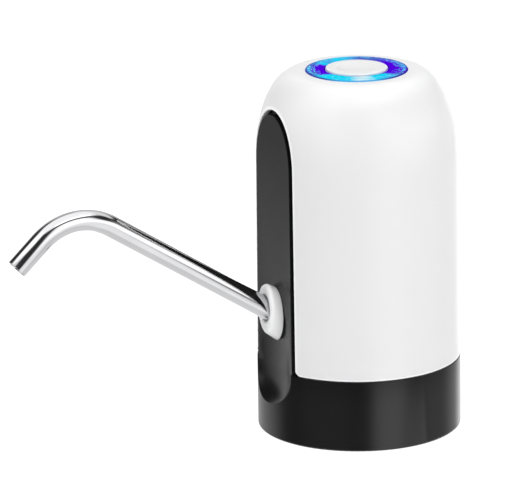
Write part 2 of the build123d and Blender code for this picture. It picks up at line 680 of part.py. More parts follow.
def spout_sleeve():
    """The soft sleeve in the port that the spout is pushed into."""
    end = SLEEVE_START + SLEEVE_LENGTH
    sleeve = spout_bar(SLEEVE_OUTER_RADIUS, SLEEVE_START, end)
    sleeve -= spout_bar(SPOUT_TUBE_RADIUS + RUNNING_GAP, SLEEVE_START - OVERRUN, end - SLEEVE_FLANGE)
    return sleeve - spout_bar(SPOUT_TUBE_RADIUS - SLEEVE_WALL, SLEEVE_START, end + OVERRUN)


def spout_tube():
    """The bent steel spout, square cut at both ends."""
    rise = radians(SPOUT_RISE_ANGLE)
    out = Vector(0, -cos(rise), sin(rise))
    start = spout_frame(TUBE_END_DEPTH).origin
    corner_reach = SPOUT_BEND_RADIUS * tan(radians(SPOUT_BEND_ANGLE / 2))
    corner = start + out * (TUBE_END_DEPTH + SPOUT_STRAIGHT + corner_reach)
    fall = radians(SPOUT_BEND_ANGLE) - rise
    down = Vector(0, -cos(fall), -sin(fall))
    tip = corner + down * (corner_reach + SPOUT_TIP_LENGTH)
    path = FilletPolyline(start, corner, tip, radius=SPOUT_BEND_RADIUS)
    ring = Circle(SPOUT_TUBE_RADIUS) - Circle(SPOUT_TUBE_RADIUS - SPOUT_TUBE_WALL)
    return sweep(Plane(origin=start, x_dir=(1, 0, 0), z_dir=out) * ring, path=path)


def light_ring():
    """The clear ring that lights up round the button."""
    crown = RING_TOP - RING_CROWN
    outline = [
        (RING_INNER_RADIUS, RING_BOTTOM),
        (RING_RADIUS + RING_FLANGE_WIDTH, RING_BOTTOM),
        (RING_RADIUS + RING_FLANGE_WIDTH, RING_FLANGE_TOP),
        (RING_RADIUS, RING_FLANGE_TOP),
        (RING_RADIUS, crown),
        ((RING_RADIUS + RING_INNER_RADIUS) / 2, RING_TOP),
        (RING_INNER_RADIUS, crown),
    ]
    return profile_solid(outline)


def button_cap():
    """The pushbutton's cap, with its skirt, flange and stem."""
    flange_bottom = BUTTON_FLANGE_TOP - BUTTON_FLANGE_THICKNESS
    cap = cylinder(BUTTON_RADIUS, flange_bottom, BUTTON_TOP)
    cap = fillet(cap.edges().group_by(Axis.Z)[-1], BUTTON_EDGE_RADIUS)
    cap += cylinder(BUTTON_RADIUS + BUTTON_FLANGE_WIDTH, flange_bottom, BUTTON_FLANGE_TOP)
    cap -= cylinder(BUTTON_RADIUS - BUTTON_WALL, flange_bottom - OVERRUN, BUTTON_TOP - 2 * BUTTON_WALL)
    dish_radius = (BUTTON_DISH_RADIUS**2 + BUTTON_DISH_DEPTH**2) / (2 * BUTTON_DISH_DEPTH)
    cap -= Pos(0, 0, BUTTON_TOP - BUTTON_DISH_DEPTH + dish_radius) * Sphere(dish_radius)
    return cap + cylinder(PLUNGER_RADIUS + BUTTON_WALL, PLUNGER_TOP, BUTTON_TOP - BUTTON_WALL)


def control_board():
    """The round circuit board under the button."""
    board = cylinder(BOARD_RADIUS, BOARD_TOP - BOARD_THICKNESS - LINE_GAP, BOARD_TOP - LINE_GAP)
    hole = cylinder(SCREW_SHANK_RADIUS + SCREW_HOLE_GAP, BOARD_TOP - OVERRUN, BOARD_TOP + OVERRUN)
    for place in board_screw_places():
        board -= place * hole
    return board


def board_screws():
    """The screws that hold the board under the shell's top."""
    height = BOARD_TOP - BOARD_THICKNESS - 2 * LINE_GAP
    return [place * screw(height) for place in board_screw_places()]


def board_lights():
    """The lamps on the board, in a circle under the light ring."""
    length, width, height = LED_SIZE
    middle = (RING_RADIUS + RING_INNER_RADIUS) / 2
    lamp = block((-length / 2, -width / 2, BOARD_TOP), (length / 2, width / 2, BOARD_TOP + height))
    dome = cylinder(LED_DOME_RADIUS, BOARD_TOP, BOARD_TOP + height + LED_DOME_HEIGHT)
    return [place * (lamp + dome) for place in around(LED_COUNT, middle, 0, phase=180 / LED_COUNT)]


def switch_body():
    """The small push switch on the board."""
    half = SWITCH_WIDTH / 2
    body = block((-half, -half, BOARD_TOP), (half, half, BOARD_TOP + SWITCH_HEIGHT))
    body = chamfer(body.edges().filter_by(Axis.Z), SWITCH_CORNER)
    well = BOARD_TOP + SWITCH_HEIGHT - PLUNGER_HEIGHT - BUTTON_TRAVEL - SEAT_GAP
    return body - cylinder(PLUNGER_RADIUS + RUNNING_GAP, well, PLUNGER_TOP + OVERRUN)


def switch_plunger():
    """The plunger of the push switch, which the button's stem bears on."""
    return cylinder(PLUNGER_RADIUS, BOARD_TOP + SWITCH_HEIGHT - PLUNGER_HEIGHT, PLUNGER_TOP)


def cover_lugs(bottom, top):
    """Round lugs beside the pump head, one for each pump screw."""
    lug = cylinder(LUG_RADIUS, bottom, top)
    return [place * lug for place in around(LUG_COUNT, LUG_CENTRE_RADIUS, 0, phase=LUG_PHASE_ANGLE)]


def bore_lugs(part, bottom, top):
    """Bores the screw holes through a part's lugs."""
    hole = cylinder(SCREW_SHANK_RADIUS + SCREW_HOLE_GAP, bottom, top)
    for place in around(LUG_COUNT, LUG_CENTRE_RADIUS, 0, phase=LUG_PHASE_ANGLE):
        part -= place * hole
    return part


def port_places():
    """The outlet's and the inlet's place on the pump cover, about the pump's axis."""
    angle = radians(PORT_ANGLE)
    x, y = PORT_OFFSET * cos(angle), PORT_OFFSET * sin(angle)
    return (x, y), (-x, -y)


def pump_cover():
    """The pump's end cover, with its two chambers and two nipples."""
    cover = cylinder(CASE_RADIUS, COVER_BOTTOM, VALVE_BOTTOM - LINE_GAP)
    for lug in cover_lugs(COVER_BOTTOM, VALVE_BOTTOM - LINE_GAP):
        cover += lug
    cover = bore_lugs(cover, COVER_BOTTOM - OVERRUN, VALVE_BOTTOM + OVERRUN)
    chamber_bottom = VALVE_BOTTOM - COVER_CHAMBER_DEPTH
    chamber = cylinder(CASE_INNER_RADIUS - CASE_WALL, chamber_bottom, VALVE_BOTTOM + OVERRUN)
    half = CASE_WALL / 2
    web = Rot(0, 0, PORT_ANGLE) * block(
        (-half, -CASE_RADIUS, chamber_bottom), (half, CASE_RADIUS, VALVE_BOTTOM + OVERRUN)
    )
    cover -= chamber - web
    for x, y in port_places():
        cover += cylinder(NIPPLE_RADIUS, COVER_BOTTOM - NIPPLE_LENGTH, COVER_BOTTOM + LINE_GAP, x, y)
        bore_bottom = COVER_BOTTOM - NIPPLE_LENGTH - OVERRUN
        cover -= cylinder(NIPPLE_BORE_RADIUS, bore_bottom, chamber_bottom + LINE_GAP, x, y)
    return pump_axis() * cover


def valve_plate():
    """The plate of small ports between the cover and the diaphragm."""
    radius = CASE_INNER_RADIUS
    plate = cylinder(radius, VALVE_BOTTOM, DIAPHRAGM_BOTTOM - LINE_GAP)
    hole = cylinder(VALVE_HOLE_RADIUS, VALVE_BOTTOM - OVERRUN, DIAPHRAGM_BOTTOM + OVERRUN)
    for reach in VALVE_HOLE_OFFSETS:
        for place in around(CUP_COUNT, reach, 0, phase=LUG_PHASE_ANGLE + 180 / CUP_COUNT):
            plate -= place * hole
    return pump_axis() * plate


def plate_height(radius, angle):
    """Height of the tilted wobble plate's underside at a place about the pump's axis."""
    tilt = radians(PIN_TILT)
    reach = HUB_BOTTOM + (PLATE_HUB_LENGTH - PLATE_THICKNESS) / 2 - WOBBLE_CENTRE_HEIGHT
    return WOBBLE_CENTRE_HEIGHT + (reach - radius * cos(radians(angle)) * sin(tilt)) / cos(tilt)


def diaphragm():
    """The rubber diaphragm, a disc with one pumping cup for each arm of the plate."""
    floor = DIAPHRAGM_BOTTOM
    skin = floor + DIAPHRAGM_THICKNESS
    rubber = cylinder(CASE_INNER_RADIUS - LINE_GAP, floor, skin)
    phase = LUG_PHASE_ANGLE + 180 / CUP_COUNT
    for i in range(CUP_COUNT):
        angle = phase + i * 360 / CUP_COUNT
        sides = [CUP_OFFSET - CUP_STEM_RADIUS, CUP_OFFSET + CUP_STEM_RADIUS]
        top = min(plate_height(side, angle) for side in sides) - SEAT_GAP
        waist = skin + CUP_SHARE * (top - skin)
        rim = Pos(0, 0, skin - LINE_GAP) * Circle(CUP_RADIUS)
        cup = loft([rim, Pos(0, 0, waist) * Circle(CUP_RADIUS / 2)])
        cup += cylinder(CUP_STEM_RADIUS, waist - LINE_GAP, top)
        rubber += Rot(0, 0, angle) * Pos(CUP_OFFSET, 0, 0) * cup
    return pump_axis() * rubber


def pump_case():
    """The pump's case, which holds the wobble plate and carries the motor."""
    shell = tube(CASE_RADIUS, CASE_INNER_RADIUS, CASE_BOTTOM, CASE_TOP - CASE_END_WALL / 2)
    shell += cylinder(CASE_RADIUS, CASE_TOP - CASE_END_WALL, CASE_TOP)
    for lug in cover_lugs(CASE_BOTTOM, CASE_BOTTOM + CASE_LENGTH / 2):
        shell += lug - cylinder(CASE_INNER_RADIUS, CASE_BOTTOM - OVERRUN, CASE_TOP)
    shell = bore_lugs(shell, CASE_BOTTOM - OVERRUN, CASE_BOTTOM + CASE_LENGTH / 2 - LINE_GAP)
    step = CASE_TOP - CASE_END_WALL
    shell -= tube(CASE_RADIUS + OVERRUN, CASE_RADIUS - CASE_STEP, step, CASE_TOP)
    shell -= cylinder(MOTOR_BOSS_RADIUS + LINE_GAP, step - LINE_GAP, CASE_TOP + OVERRUN)
    return pump_axis() * shell


def pump_screws():
    """The long screws that clamp the pump head together."""
    screws = []
    for place in around(LUG_COUNT, LUG_CENTRE_RADIUS, 0, phase=LUG_PHASE_ANGLE):
        head = screw(COVER_BOTTOM - LINE_GAP)
        shank = cylinder(SCREW_SHANK_RADIUS, COVER_BOTTOM, CASE_BOTTOM + SCREW_DEPTH)
        screws.append(pump_axis() * place * (head + shank))
    return screws


def motor_can():
    """The motor's drawn steel can, with its bearing boss."""
    can = cylinder(MOTOR_RADIUS, MOTOR_BOTTOM, MOTOR_TOP - MOTOR_CAP_THICKNESS / 2)
    can = fillet(can.edges().group_by(Axis.Z)[0], MOTOR_WALL)
    can -= cylinder(MOTOR_RADIUS - MOTOR_WALL, MOTOR_BOTTOM + MOTOR_WALL, MOTOR_TOP + OVERRUN)
    boss_bottom = MOTOR_BOTTOM - MOTOR_BOSS_LENGTH
    can += cylinder(MOTOR_BOSS_RADIUS, boss_bottom, MOTOR_BOTTOM + MOTOR_BOSS_LENGTH)
    can -= cylinder(SHAFT_RADIUS + RUNNING_GAP, MOTOR_BOTTOM - OVERRUN, MOTOR_TOP)
    return pump_axis() * can


def motor_end_cap():
    """The plastic cap of the motor, with its bearing and two terminals."""
    top = MOTOR_TOP
    seat = MOTOR_TOP - MOTOR_CAP_THICKNESS / 2 + LINE_GAP
    cap = cylinder(MOTOR_RADIUS, seat, top)
    cap += cylinder(MOTOR_RADIUS - MOTOR_WALL - LINE_GAP, top - MOTOR_CAP_THICKNESS, top)
    cap += cylinder(MOTOR_BOSS_RADIUS, top - LINE_GAP, top + MOTOR_CAP_THICKNESS / 2)
    well = top - MOTOR_CAP_THICKNESS - OVERRUN
    cap -= cylinder(SHAFT_RADIUS + RUNNING_GAP, well, top + LINE_GAP)
    length, thickness, height = TERMINAL_SIZE
    for side in (-1, 1):
        x = side * TERMINAL_OFFSET
        low = (x - thickness / 2, -length / 2, top - LINE_GAP)
        cap += block(low, (x + thickness / 2, length / 2, top + height))
    return pump_axis() * cap


def motor_magnets():
    """The two curved magnets inside the can."""
    outer = MOTOR_RADIUS - MOTOR_WALL - LINE_GAP
    middle = (MOTOR_BOTTOM + MOTOR_TOP) / 2
    bottom, top = middle - MAGNET_LENGTH / 2, middle + MAGNET_LENGTH / 2
    ring = tube(outer, outer - MAGNET_THICKNESS, bottom, top)
    opening = wedge(180 - MAGNET_ANGLE, outer + OVERRUN, bottom - LINE_GAP, top + LINE_GAP)
    for turn in (0, 180):
        ring -= Rot(0, 0, turn) * opening
    return [pump_axis() * solid for solid in ring.solids()]


def motor_rotor():
    """The wound rotor, with its three poles and its commutator."""
    radius = MOTOR_RADIUS - MOTOR_WALL - LINE_GAP - MAGNET_THICKNESS - ROTOR_GAP
    middle = (MOTOR_BOTTOM + MOTOR_TOP) / 2
    bottom, top = middle - ROTOR_LENGTH / 2, middle + ROTOR_LENGTH / 2
    rotor = cylinder(radius, bottom, top)
    half = ROTOR_SLOT_WIDTH / 2
    slot_start = radius - ROTOR_SLOT_DEPTH
    slot = block((slot_start, -half, bottom - OVERRUN), (radius + OVERRUN, half, top + OVERRUN))
    for place in around(ROTOR_SLOT_COUNT, 0):
        rotor -= place * slot
    rotor += cylinder(COMMUTATOR_RADIUS, top - LINE_GAP, top + COMMUTATOR_LENGTH)
    return pump_axis() * (rotor - cylinder(SHAFT_RADIUS, bottom - OVERRUN, top + OVERRUN))


def motor_shaft():
    """The motor's shaft, from its cap down into the eccentric."""
    return pump_axis() * cylinder(SHAFT_RADIUS, ECCENTRIC_BOTTOM + SHAFT_SEAT, MOTOR_TOP)


def pin_frame():
    """The tilted axis of the eccentric's pin, through the centre that the plate wobbles about."""
    return Pos(0, 0, WOBBLE_CENTRE_HEIGHT) * Rot(0, PIN_TILT, 0)


def eccentric():
    """The eccentric on the shaft, with its tilted pin."""
    cam = cylinder(ECCENTRIC_RADIUS, ECCENTRIC_BOTTOM, ECCENTRIC_TOP)
    cam -= cylinder(SHAFT_RADIUS, ECCENTRIC_BOTTOM + SHAFT_SEAT, ECCENTRIC_TOP + OVERRUN)
    pin_top = ECCENTRIC_BOTTOM + PIN_SEAT - WOBBLE_CENTRE_HEIGHT
    pin_bottom = HUB_BOTTOM - WOBBLE_CENTRE_HEIGHT + LINE_GAP
    return pump_axis() * (cam + pin_frame() * cylinder(PIN_RADIUS, pin_bottom, pin_top))


def wobble_plate():
    """The three-armed plate that the tilted pin rocks to work the diaphragm."""
    bottom = HUB_BOTTOM - WOBBLE_CENTRE_HEIGHT
    top = HUB_TOP - WOBBLE_CENTRE_HEIGHT
    middle = (bottom + top) / 2
    plate = cylinder(PLATE_RADIUS, middle - PLATE_THICKNESS / 2, middle + PLATE_THICKNESS / 2)
    notch = cylinder(PLATE_NOTCH_RADIUS, bottom, top)
    for place in around(CUP_COUNT, PLATE_RADIUS, 0, phase=LUG_PHASE_ANGLE):
        plate -= place * notch
    plate += cylinder(PLATE_HUB_RADIUS, bottom, top)
    plate -= cylinder(PIN_RADIUS + RUNNING_GAP, bottom - OVERRUN, top + OVERRUN)
    return pump_axis() * pin_frame() * plate


def inlet_hose():
    """The soft hose from the inlet fitting up to the pump."""
    (_, _), (x, y) = port_places()
    x, y = PUMP_X + x, PUMP_Y + y
    bottom = DECK_TOP + INLET_NUT_HEIGHT + 2 * LINE_GAP
    top = COVER_BOTTOM - LINE_GAP
    level = bottom + NIPPLE_LENGTH + HOSE_BEND_RADIUS - LINE_GAP
    points = [(0, 0, bottom), (0, 0, level), (x, y, level), (x, y, top)]
    return hose(points, HOSE_OUTER_RADIUS, HOSE_INNER_RADIUS, HOSE_BEND_RADIUS)


def outlet_hose():
    """The soft hose from the pump round to the spout's port."""
    (x, y), (_, _) = port_places()
    x, y = PUMP_X + x, PUMP_Y + y
    start = spout_frame(PORT_DEPTH + PORT_FLOOR + LINE_GAP).origin
    corner = spout_frame(PORT_DEPTH + PORT_FLOOR + NIPPLE_LENGTH + HOSE_TURN_LENGTH).origin
    points = [start, corner, (x, y, corner.Z), (x, y, COVER_BOTTOM - LINE_GAP)]
    return hose(points, HOSE_OUTER_RADIUS, HOSE_INNER_RADIUS, HOSE_BEND_RADIUS)


def battery_cell():
    """The rechargeable cell, with its raised top contact and crimped neck."""
    top = BATTERY_BOTTOM + BATTERY_LENGTH
    cell = cylinder(BATTERY_RADIUS, BATTERY_BOTTOM, top - BATTERY_CAP_HEIGHT)
    neck = top - BATTERY_CAP_HEIGHT - BATTERY_GROOVE_WIDTH
    cell -= Pos(0, 0, neck) * Torus(BATTERY_RADIUS, BATTERY_GROOVE_DEPTH)
    cell += cylinder(BATTERY_CAP_RADIUS, top - BATTERY_CAP_HEIGHT - LINE_GAP, top)
    return Pos(BATTERY_X, BATTERY_Y, 0) * cell


def clip(radius, bottom, x, y, facing):
    """A springy C-shaped clip round a cylinder, open towards one side."""
    top = bottom + CLIP_HEIGHT
    ring = tube(radius + SEAT_GAP + CLIP_WALL, radius + SEAT_GAP, bottom, top)
    mouth = wedge(CLIP_MOUTH_ANGLE, radius + OVERRUN, bottom - LINE_GAP, top + LINE_GAP)
    return Pos(x, y, 0) * (ring - Rot(0, 0, facing) * mouth)


def chassis():
    """The frame that carries the motor and the cell, screwed to the deck."""
    back = SPINE_X + SPINE_THICKNESS
    frame = block((SPINE_X, SPINE_FRONT, DECK_TOP + LINE_GAP), (back, SPINE_BACK, SPINE_TOP))
    floor = DECK_TOP + LINE_GAP
    foot_corner = (back + FOOT_WIDTH, SPINE_BACK, floor + FOOT_THICKNESS)
    frame += block((SPINE_X, SPINE_FRONT, floor), foot_corner)
    shelf = BATTERY_BOTTOM - LINE_GAP
    shelf_radius = BATTERY_RADIUS + CLIP_WALL
    frame += cylinder(shelf_radius, shelf - BATTERY_SHELF_THICKNESS, shelf, BATTERY_X, BATTERY_Y)
    frame += block(
        (SPINE_X, BATTERY_Y - BATTERY_SHELF_HALF_WIDTH, shelf - BATTERY_SHELF_THICKNESS),
        (BATTERY_X, BATTERY_Y + BATTERY_SHELF_HALF_WIDTH, shelf),
    )
    for bottom in clip_heights(BATTERY_BOTTOM, BATTERY_LENGTH):
        frame += clip(BATTERY_RADIUS, bottom, BATTERY_X, BATTERY_Y, 0)
    for bottom in clip_heights(MOTOR_BOTTOM, MOTOR_LENGTH):
        frame += clip(MOTOR_RADIUS, bottom, PUMP_X, PUMP_Y, 180)
        bridge_start = PUMP_X + MOTOR_RADIUS + SEAT_GAP + CLIP_WALL / 2
        frame += block(
            (bridge_start, PUMP_Y - BRIDGE_HALF_WIDTH, bottom),
            (SPINE_X, PUMP_Y + BRIDGE_HALF_WIDTH, bottom + CLIP_HEIGHT),
        )
    for window in spine_windows():
        frame -= window
    frame -= cylinder(INLET_FLANGE_RADIUS + SEAT_GAP, DECK_TOP, DECK_TOP + INLET_NUT_HEIGHT + SEAT_GAP)
    hole = SCREW_SHANK_RADIUS + SCREW_HOLE_GAP
    for x, y in foot_screw_places():
        frame -= cylinder(hole, DECK_TOP - OVERRUN, DECK_TOP + OVERRUN, x, y)
    return frame


def clip_heights(bottom, length):
    """The heights of the two clips along a cylinder."""
    return [bottom + share * length - CLIP_HEIGHT / 2 for share in CLIP_SHARES]


def spine_windows():
    """Openings that lighten the spine, at its front edge."""
    pitch = (SPINE_TOP - DECK_TOP) / SPINE_WINDOW_COUNT
    windows = []
    for i in range(SPINE_WINDOW_COUNT):
        middle = DECK_TOP + (i + 1 / 2) * pitch
        half = SPINE_WINDOW_SHARE * pitch / 2
        low = (SPINE_X - LINE_GAP, SPINE_FRONT + SPINE_THICKNESS, middle - half)
        high = (SPINE_X + SPINE_THICKNESS + LINE_GAP, SPINE_FRONT + SPINE_WINDOW_WIDTH, middle + half)
        windows.append(block(low, high))
    return windows


def foot_screws():
    """The screws that hold the chassis down, from under the deck."""
    return [Pos(x, y, 0) * screw(DECK_BOTTOM - LINE_GAP) for x, y in foot_screw_places()]


def usb_shell():
    """The folded metal shell of the charging socket."""
    half = USB_WIDTH / 2
    back = CHARGE_BOARD_BACK + USB_INSET + USB_WALL
    low, high = CHARGE_BOARD_TOP, CHARGE_BOARD_TOP + USB_THICKNESS
    shell = block((-half, back - USB_DEPTH, low), (half, back, high))
    shell = chamfer(shell.edges().filter_by(Axis.Y).group_by(Axis.Z)[0], USB_CORNER)
    inner = block(
        (-half + USB_WALL, back - USB_DEPTH + USB_WALL, low + USB_WALL),
        (half - USB_WALL, back + OVERRUN, high - USB_WALL),
    )
    inner = chamfer(inner.edges().filter_by(Axis.Y).group_by(Axis.Z)[0], USB_CORNER)
    middle = (low + high) / 2
    tongue = block(
        (-half / 2, back - USB_DEPTH, middle), (half / 2, back - USB_WALL, middle + USB_TONGUE_THICKNESS)
    )
    return shell - inner + tongue


def charge_board():
    """The small board at the back that carries the charging socket."""
    half = CHARGE_BOARD_WIDTH / 2
    low = (-half, CHARGE_BOARD_BACK - CHARGE_BOARD_LENGTH, CHARGE_BOARD_TOP - CHARGE_BOARD_THICKNESS)
    high = (half, CHARGE_BOARD_BACK, CHARGE_BOARD_TOP)
    board = block(low, high)
    return board & cylinder(SHELL_INNER_RADIUS - SEAT_GAP, 0, SHOULDER_HEIGHT)


def lead_pair(points, shift):
    """Two wires along one route, each moved half the spacing to its own side."""
    pair = []
    for side in (-1 / 2, 1 / 2):
        pair.append(lead([Vector(*point) + Vector(*shift) * side for point in points]))
    return pair


def board_underside():
    """The height at which the leads meet the control board."""
    return BOARD_TOP - BOARD_THICKNESS - 2 * LINE_GAP


def battery_leads():
    """The pair of wires from the cell up to the control board."""
    bottom = BATTERY_BOTTOM + BATTERY_LENGTH + LINE_GAP
    bend = bottom + LEAD_RISE
    points = [
        (BATTERY_X, BATTERY_Y, bottom),
        (BATTERY_X, BATTERY_Y, bend),
        (BATTERY_LEAD_X, BATTERY_LEAD_Y, bend),
        (BATTERY_LEAD_X, BATTERY_LEAD_Y, board_underside()),
    ]
    return lead_pair(points, (0, LEAD_SPACING, 0))


def motor_leads():
    """The pair of wires from the motor's terminals up to the control board."""
    bottom = MOTOR_TOP + TERMINAL_SIZE[2] + LINE_GAP
    bend = (bottom + board_underside()) / 2
    points = [
        (PUMP_X, PUMP_Y, bottom),
        (PUMP_X, PUMP_Y, bend),
        (PUMP_X, MOTOR_LEAD_Y, bend),
        (PUMP_X, MOTOR_LEAD_Y, board_underside()),
    ]
    return lead_pair(points, (2 * TERMINAL_OFFSET, 0, 0))


def charge_leads():
    """The pair of wires from the charging board up to the control board."""
    low, high = CHARGE_LEAD_HEIGHTS
    points = [
        (0, CHARGE_LEAD_LOW_Y, CHARGE_BOARD_TOP + LINE_GAP),
        (0, CHARGE_LEAD_LOW_Y, low),
        (0, CHARGE_LEAD_HIGH_Y, high),
        (0, CHARGE_LEAD_HIGH_Y, board_underside()),
    ]
    return lead_pair(points, (LEAD_SPACING, 0, 0))


def write_nodes():
    """Builds every node and writes it to its own file."""
    os.makedirs("parts", exist_ok=True)
    makers = [
        outer_shell, base_housing, neck_seal, neck_grip, inlet_fitting, inlet_nut,
        spout_collar, spout_sleeve, spout_tube, light_ring, button_cap, control_board,
        board_screws, board_lights, switch_body, switch_plunger, pump_cover, valve_plate,
        diaphragm, pump_case, pump_screws, motor_can, motor_end_cap, motor_magnets,
        motor_rotor, motor_shaft, eccentric, wobble_plate, inlet_hose, outlet_hose,
        battery_cell, chassis, foot_screws, usb_shell, charge_board, battery_leads,
        motor_leads, charge_leads,
    ]
    for maker in makers:
        made = maker()
        shape = Compound(children=made) if isinstance(made, list) else made
        export_step(shape, f"parts/{maker.__name__}.step")


write_nodes()
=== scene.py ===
"""Dressed model of a rechargeable pump for large water bottles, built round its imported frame."""
import json
import logging
import math
from dataclasses import dataclass
from enum import Enum

import bmesh
import bpy
from mathutils import Matrix, Vector


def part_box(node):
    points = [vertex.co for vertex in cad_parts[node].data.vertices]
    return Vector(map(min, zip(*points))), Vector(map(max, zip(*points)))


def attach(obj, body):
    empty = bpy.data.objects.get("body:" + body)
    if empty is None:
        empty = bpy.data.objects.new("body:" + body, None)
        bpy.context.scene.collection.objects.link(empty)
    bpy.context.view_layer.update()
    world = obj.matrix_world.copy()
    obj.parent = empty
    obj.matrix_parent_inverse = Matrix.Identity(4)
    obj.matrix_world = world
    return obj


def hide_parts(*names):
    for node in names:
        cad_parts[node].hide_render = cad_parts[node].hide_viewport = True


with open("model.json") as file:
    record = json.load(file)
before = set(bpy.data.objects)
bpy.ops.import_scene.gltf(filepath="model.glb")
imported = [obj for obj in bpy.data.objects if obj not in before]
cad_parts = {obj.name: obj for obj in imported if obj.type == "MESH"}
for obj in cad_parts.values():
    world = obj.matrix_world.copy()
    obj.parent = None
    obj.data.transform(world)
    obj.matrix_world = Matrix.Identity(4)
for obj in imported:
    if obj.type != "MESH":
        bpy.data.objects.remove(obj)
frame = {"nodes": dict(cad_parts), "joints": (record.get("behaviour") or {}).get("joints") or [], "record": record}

log = logging.getLogger("pump")

Span = tuple[float, float]
Point = tuple[float, float, float]
Colour = tuple[float, float, float]
Stops = tuple[tuple[float, Colour], ...]
Circle = tuple[Vector, float, Vector]
Socket = bpy.types.NodeSocket

MM = 0.001
SLOTS = {part["node"]: part["material_slot"] for part in frame["record"]["subparts"]}
MADE: dict[str, bpy.types.Material] = {}
RIGHT = Vector((1, 0, 0))
WHITE = (1.0, 1.0, 1.0, 1.0)
BLACK = (0.0, 0.0, 0.0, 1.0)

# Spans of a noise texture's values, for remaps: a narrower one gives firmer patches.
SOFT = (0.25, 0.75)
EVEN = (0.3, 0.7)
FIRM = (0.35, 0.65)
SMEARED = (0.45, 0.75)

# The Mix node has sockets for every kind of value. These are its colours and its mixed colour.
MIX_COLOURS = (6, 7)
MIX_RESULT = 2


class Kind(Enum):
    """Shader nodes that the finishes use, by their names in Blender."""

    COORDINATES = "ShaderNodeTexCoord"
    MAPPING = "ShaderNodeMapping"
    NOISE = "ShaderNodeTexNoise"
    WAVE = "ShaderNodeTexWave"
    BRICKS = "ShaderNodeTexBrick"
    RAMP = "ShaderNodeValToRGB"
    REMAP = "ShaderNodeMapRange"
    MATH = "ShaderNodeMath"
    VECTOR_MATH = "ShaderNodeVectorMath"
    MIX = "ShaderNodeMix"
    SPLIT = "ShaderNodeSeparateXYZ"
    JOIN = "ShaderNodeCombineXYZ"
    BUMP = "ShaderNodeBump"
    SURFACE = "ShaderNodeBsdfPrincipled"
    GLOW = "ShaderNodeEmission"
    CLEAR = "ShaderNodeBsdfTransparent"
    BLEND = "ShaderNodeMixShader"
    RAY = "ShaderNodeLightPath"
    BACKGROUND = "ShaderNodeBackground"
    OUTPUT = "ShaderNodeOutputMaterial"
    SKY_OUTPUT = "ShaderNodeOutputWorld"


def grey(level: float) -> Colour:
    """Returns a neutral colour, from 0 for black to 1 for white."""
    return level, level, level


def radians(span: Span) -> Span:
    """Returns a span of degrees in radians."""
    return math.radians(span[0]), math.radians(span[1])


class Graph:
    """A shader's nodes, added one at a time with their inputs."""

    def __init__(self, tree: bpy.types.NodeTree) -> None:
        """Empties a node tree and keeps it.

        Args:
            tree: The node tree of a material or of the world.
        """
        self.tree = tree
        self.tree.nodes.clear()

    def feed(self, node: bpy.types.Node, inputs: dict) -> None:
        """Gives a node some of its inputs.

        Args:
            node: The node.
            inputs: Sockets to link from, or plain values, by input name or number.
        """
        for key, value in inputs.items():
            if isinstance(value, Socket):
                self.tree.links.new(value, node.inputs[key])
            else:
                node.inputs[key].default_value = value

    def add(self, kind: Kind, inputs: dict | None = None, **settings: object) -> bpy.types.Node:
        """Adds a node.

        Args:
            kind: What the node is.
            inputs: Sockets to link from, or plain values, by input name or number.
            settings: Properties of the node itself.

        Returns:
            The new node.
        """
        node = self.tree.nodes.new(kind.value)
        for name, value in settings.items():
            setattr(node, name, value)
        self.feed(node, inputs or {})
        return node

    def place(self) -> Socket:
        """Returns the point on the object, in metres."""
        return self.add(Kind.COORDINATES).outputs["Object"]

    def split(self, place: Socket) -> tuple[Socket, ...]:
        """Returns the x, y and z of a point."""
        return tuple(self.add(Kind.SPLIT, {0: place}).outputs)

    def math(self, operation: str, *values: object) -> Socket:
        """Works out a number.

        Args:
            operation: The name of the Math node's operation.
            values: Sockets or plain numbers, in order.

        Returns:
            The result's socket.
        """
        return self.add(Kind.MATH, dict(enumerate(values)), operation=operation).outputs[0]

    def noise(self, place: Socket, size: float, detail: float = 3.0) -> Socket:
        """Adds soft random patches.

        Args:
            place: The point on the object.
            size: How large a patch is, in metres.
            detail: How many finer layers the patches have.

        Returns:
            The socket of a value from 0 to 1.
        """
        inputs = {"Vector": place, "Scale": 1 / size, "Detail": detail}
        return self.add(Kind.NOISE, inputs).outputs[0]

    def remap(
        self, value: Socket, source: Span, target: Span = (0.0, 1.0), smooth: bool = False,
    ) -> Socket:
        """Maps a range of values to another, and stops at its ends.

        Args:
            value: The value's socket.
            source: The values that map to the target's ends.
            target: The results at those ends.
            smooth: Whether the change eases in and out.

        Returns:
            The result's socket.
        """
        ends = zip(("From Min", "From Max", "To Min", "To Max"), (*source, *target))
        style = "SMOOTHSTEP" if smooth else "LINEAR"
        inputs = {"Value": value, **dict(ends)}
        return self.add(Kind.REMAP, inputs, interpolation_type=style).outputs[0]

    def mix(self, share: object, first: object, second: object) -> Socket:
        """Mixes two colours.

        Args:
            share: How much of the second colour there is, from 0 to 1.
            first: A colour or its socket.
            second: A colour or its socket.

        Returns:
            The mixed colour's socket.
        """
        inputs = {0: share}
        for key, colour in zip(MIX_COLOURS, (first, second)):
            inputs[key] = colour if isinstance(colour, Socket) else (*colour, 1.0)
        return self.add(Kind.MIX, inputs, data_type="RGBA").outputs[MIX_RESULT]

    def ramp(self, share: Socket, stops: Stops) -> Socket:
        """Reads a colour from a row of colours.

        Args:
            share: Where to read, from 0 to 1.
            stops: Places and colours, in order.

        Returns:
            The colour's socket.
        """
        node = self.add(Kind.RAMP, {0: share})
        row = node.color_ramp.elements
        while len(row) < len(stops):
            row.new(1.0)
        for element, (position, colour) in zip(row, stops):
            element.position = position
            element.color = (*colour, 1.0)
        return node.outputs[0]

    def bump(self, height: Socket, depth: float) -> Socket:
        """Turns a height into relief.

        Args:
            height: The height's socket, from 0 to 1.
            depth: How deep the relief is, in metres.

        Returns:
            The bent normal's socket.
        """
        inputs = {"Height": height, "Distance": depth, "Strength": 1.0}
        return self.add(Kind.BUMP, inputs).outputs[0]


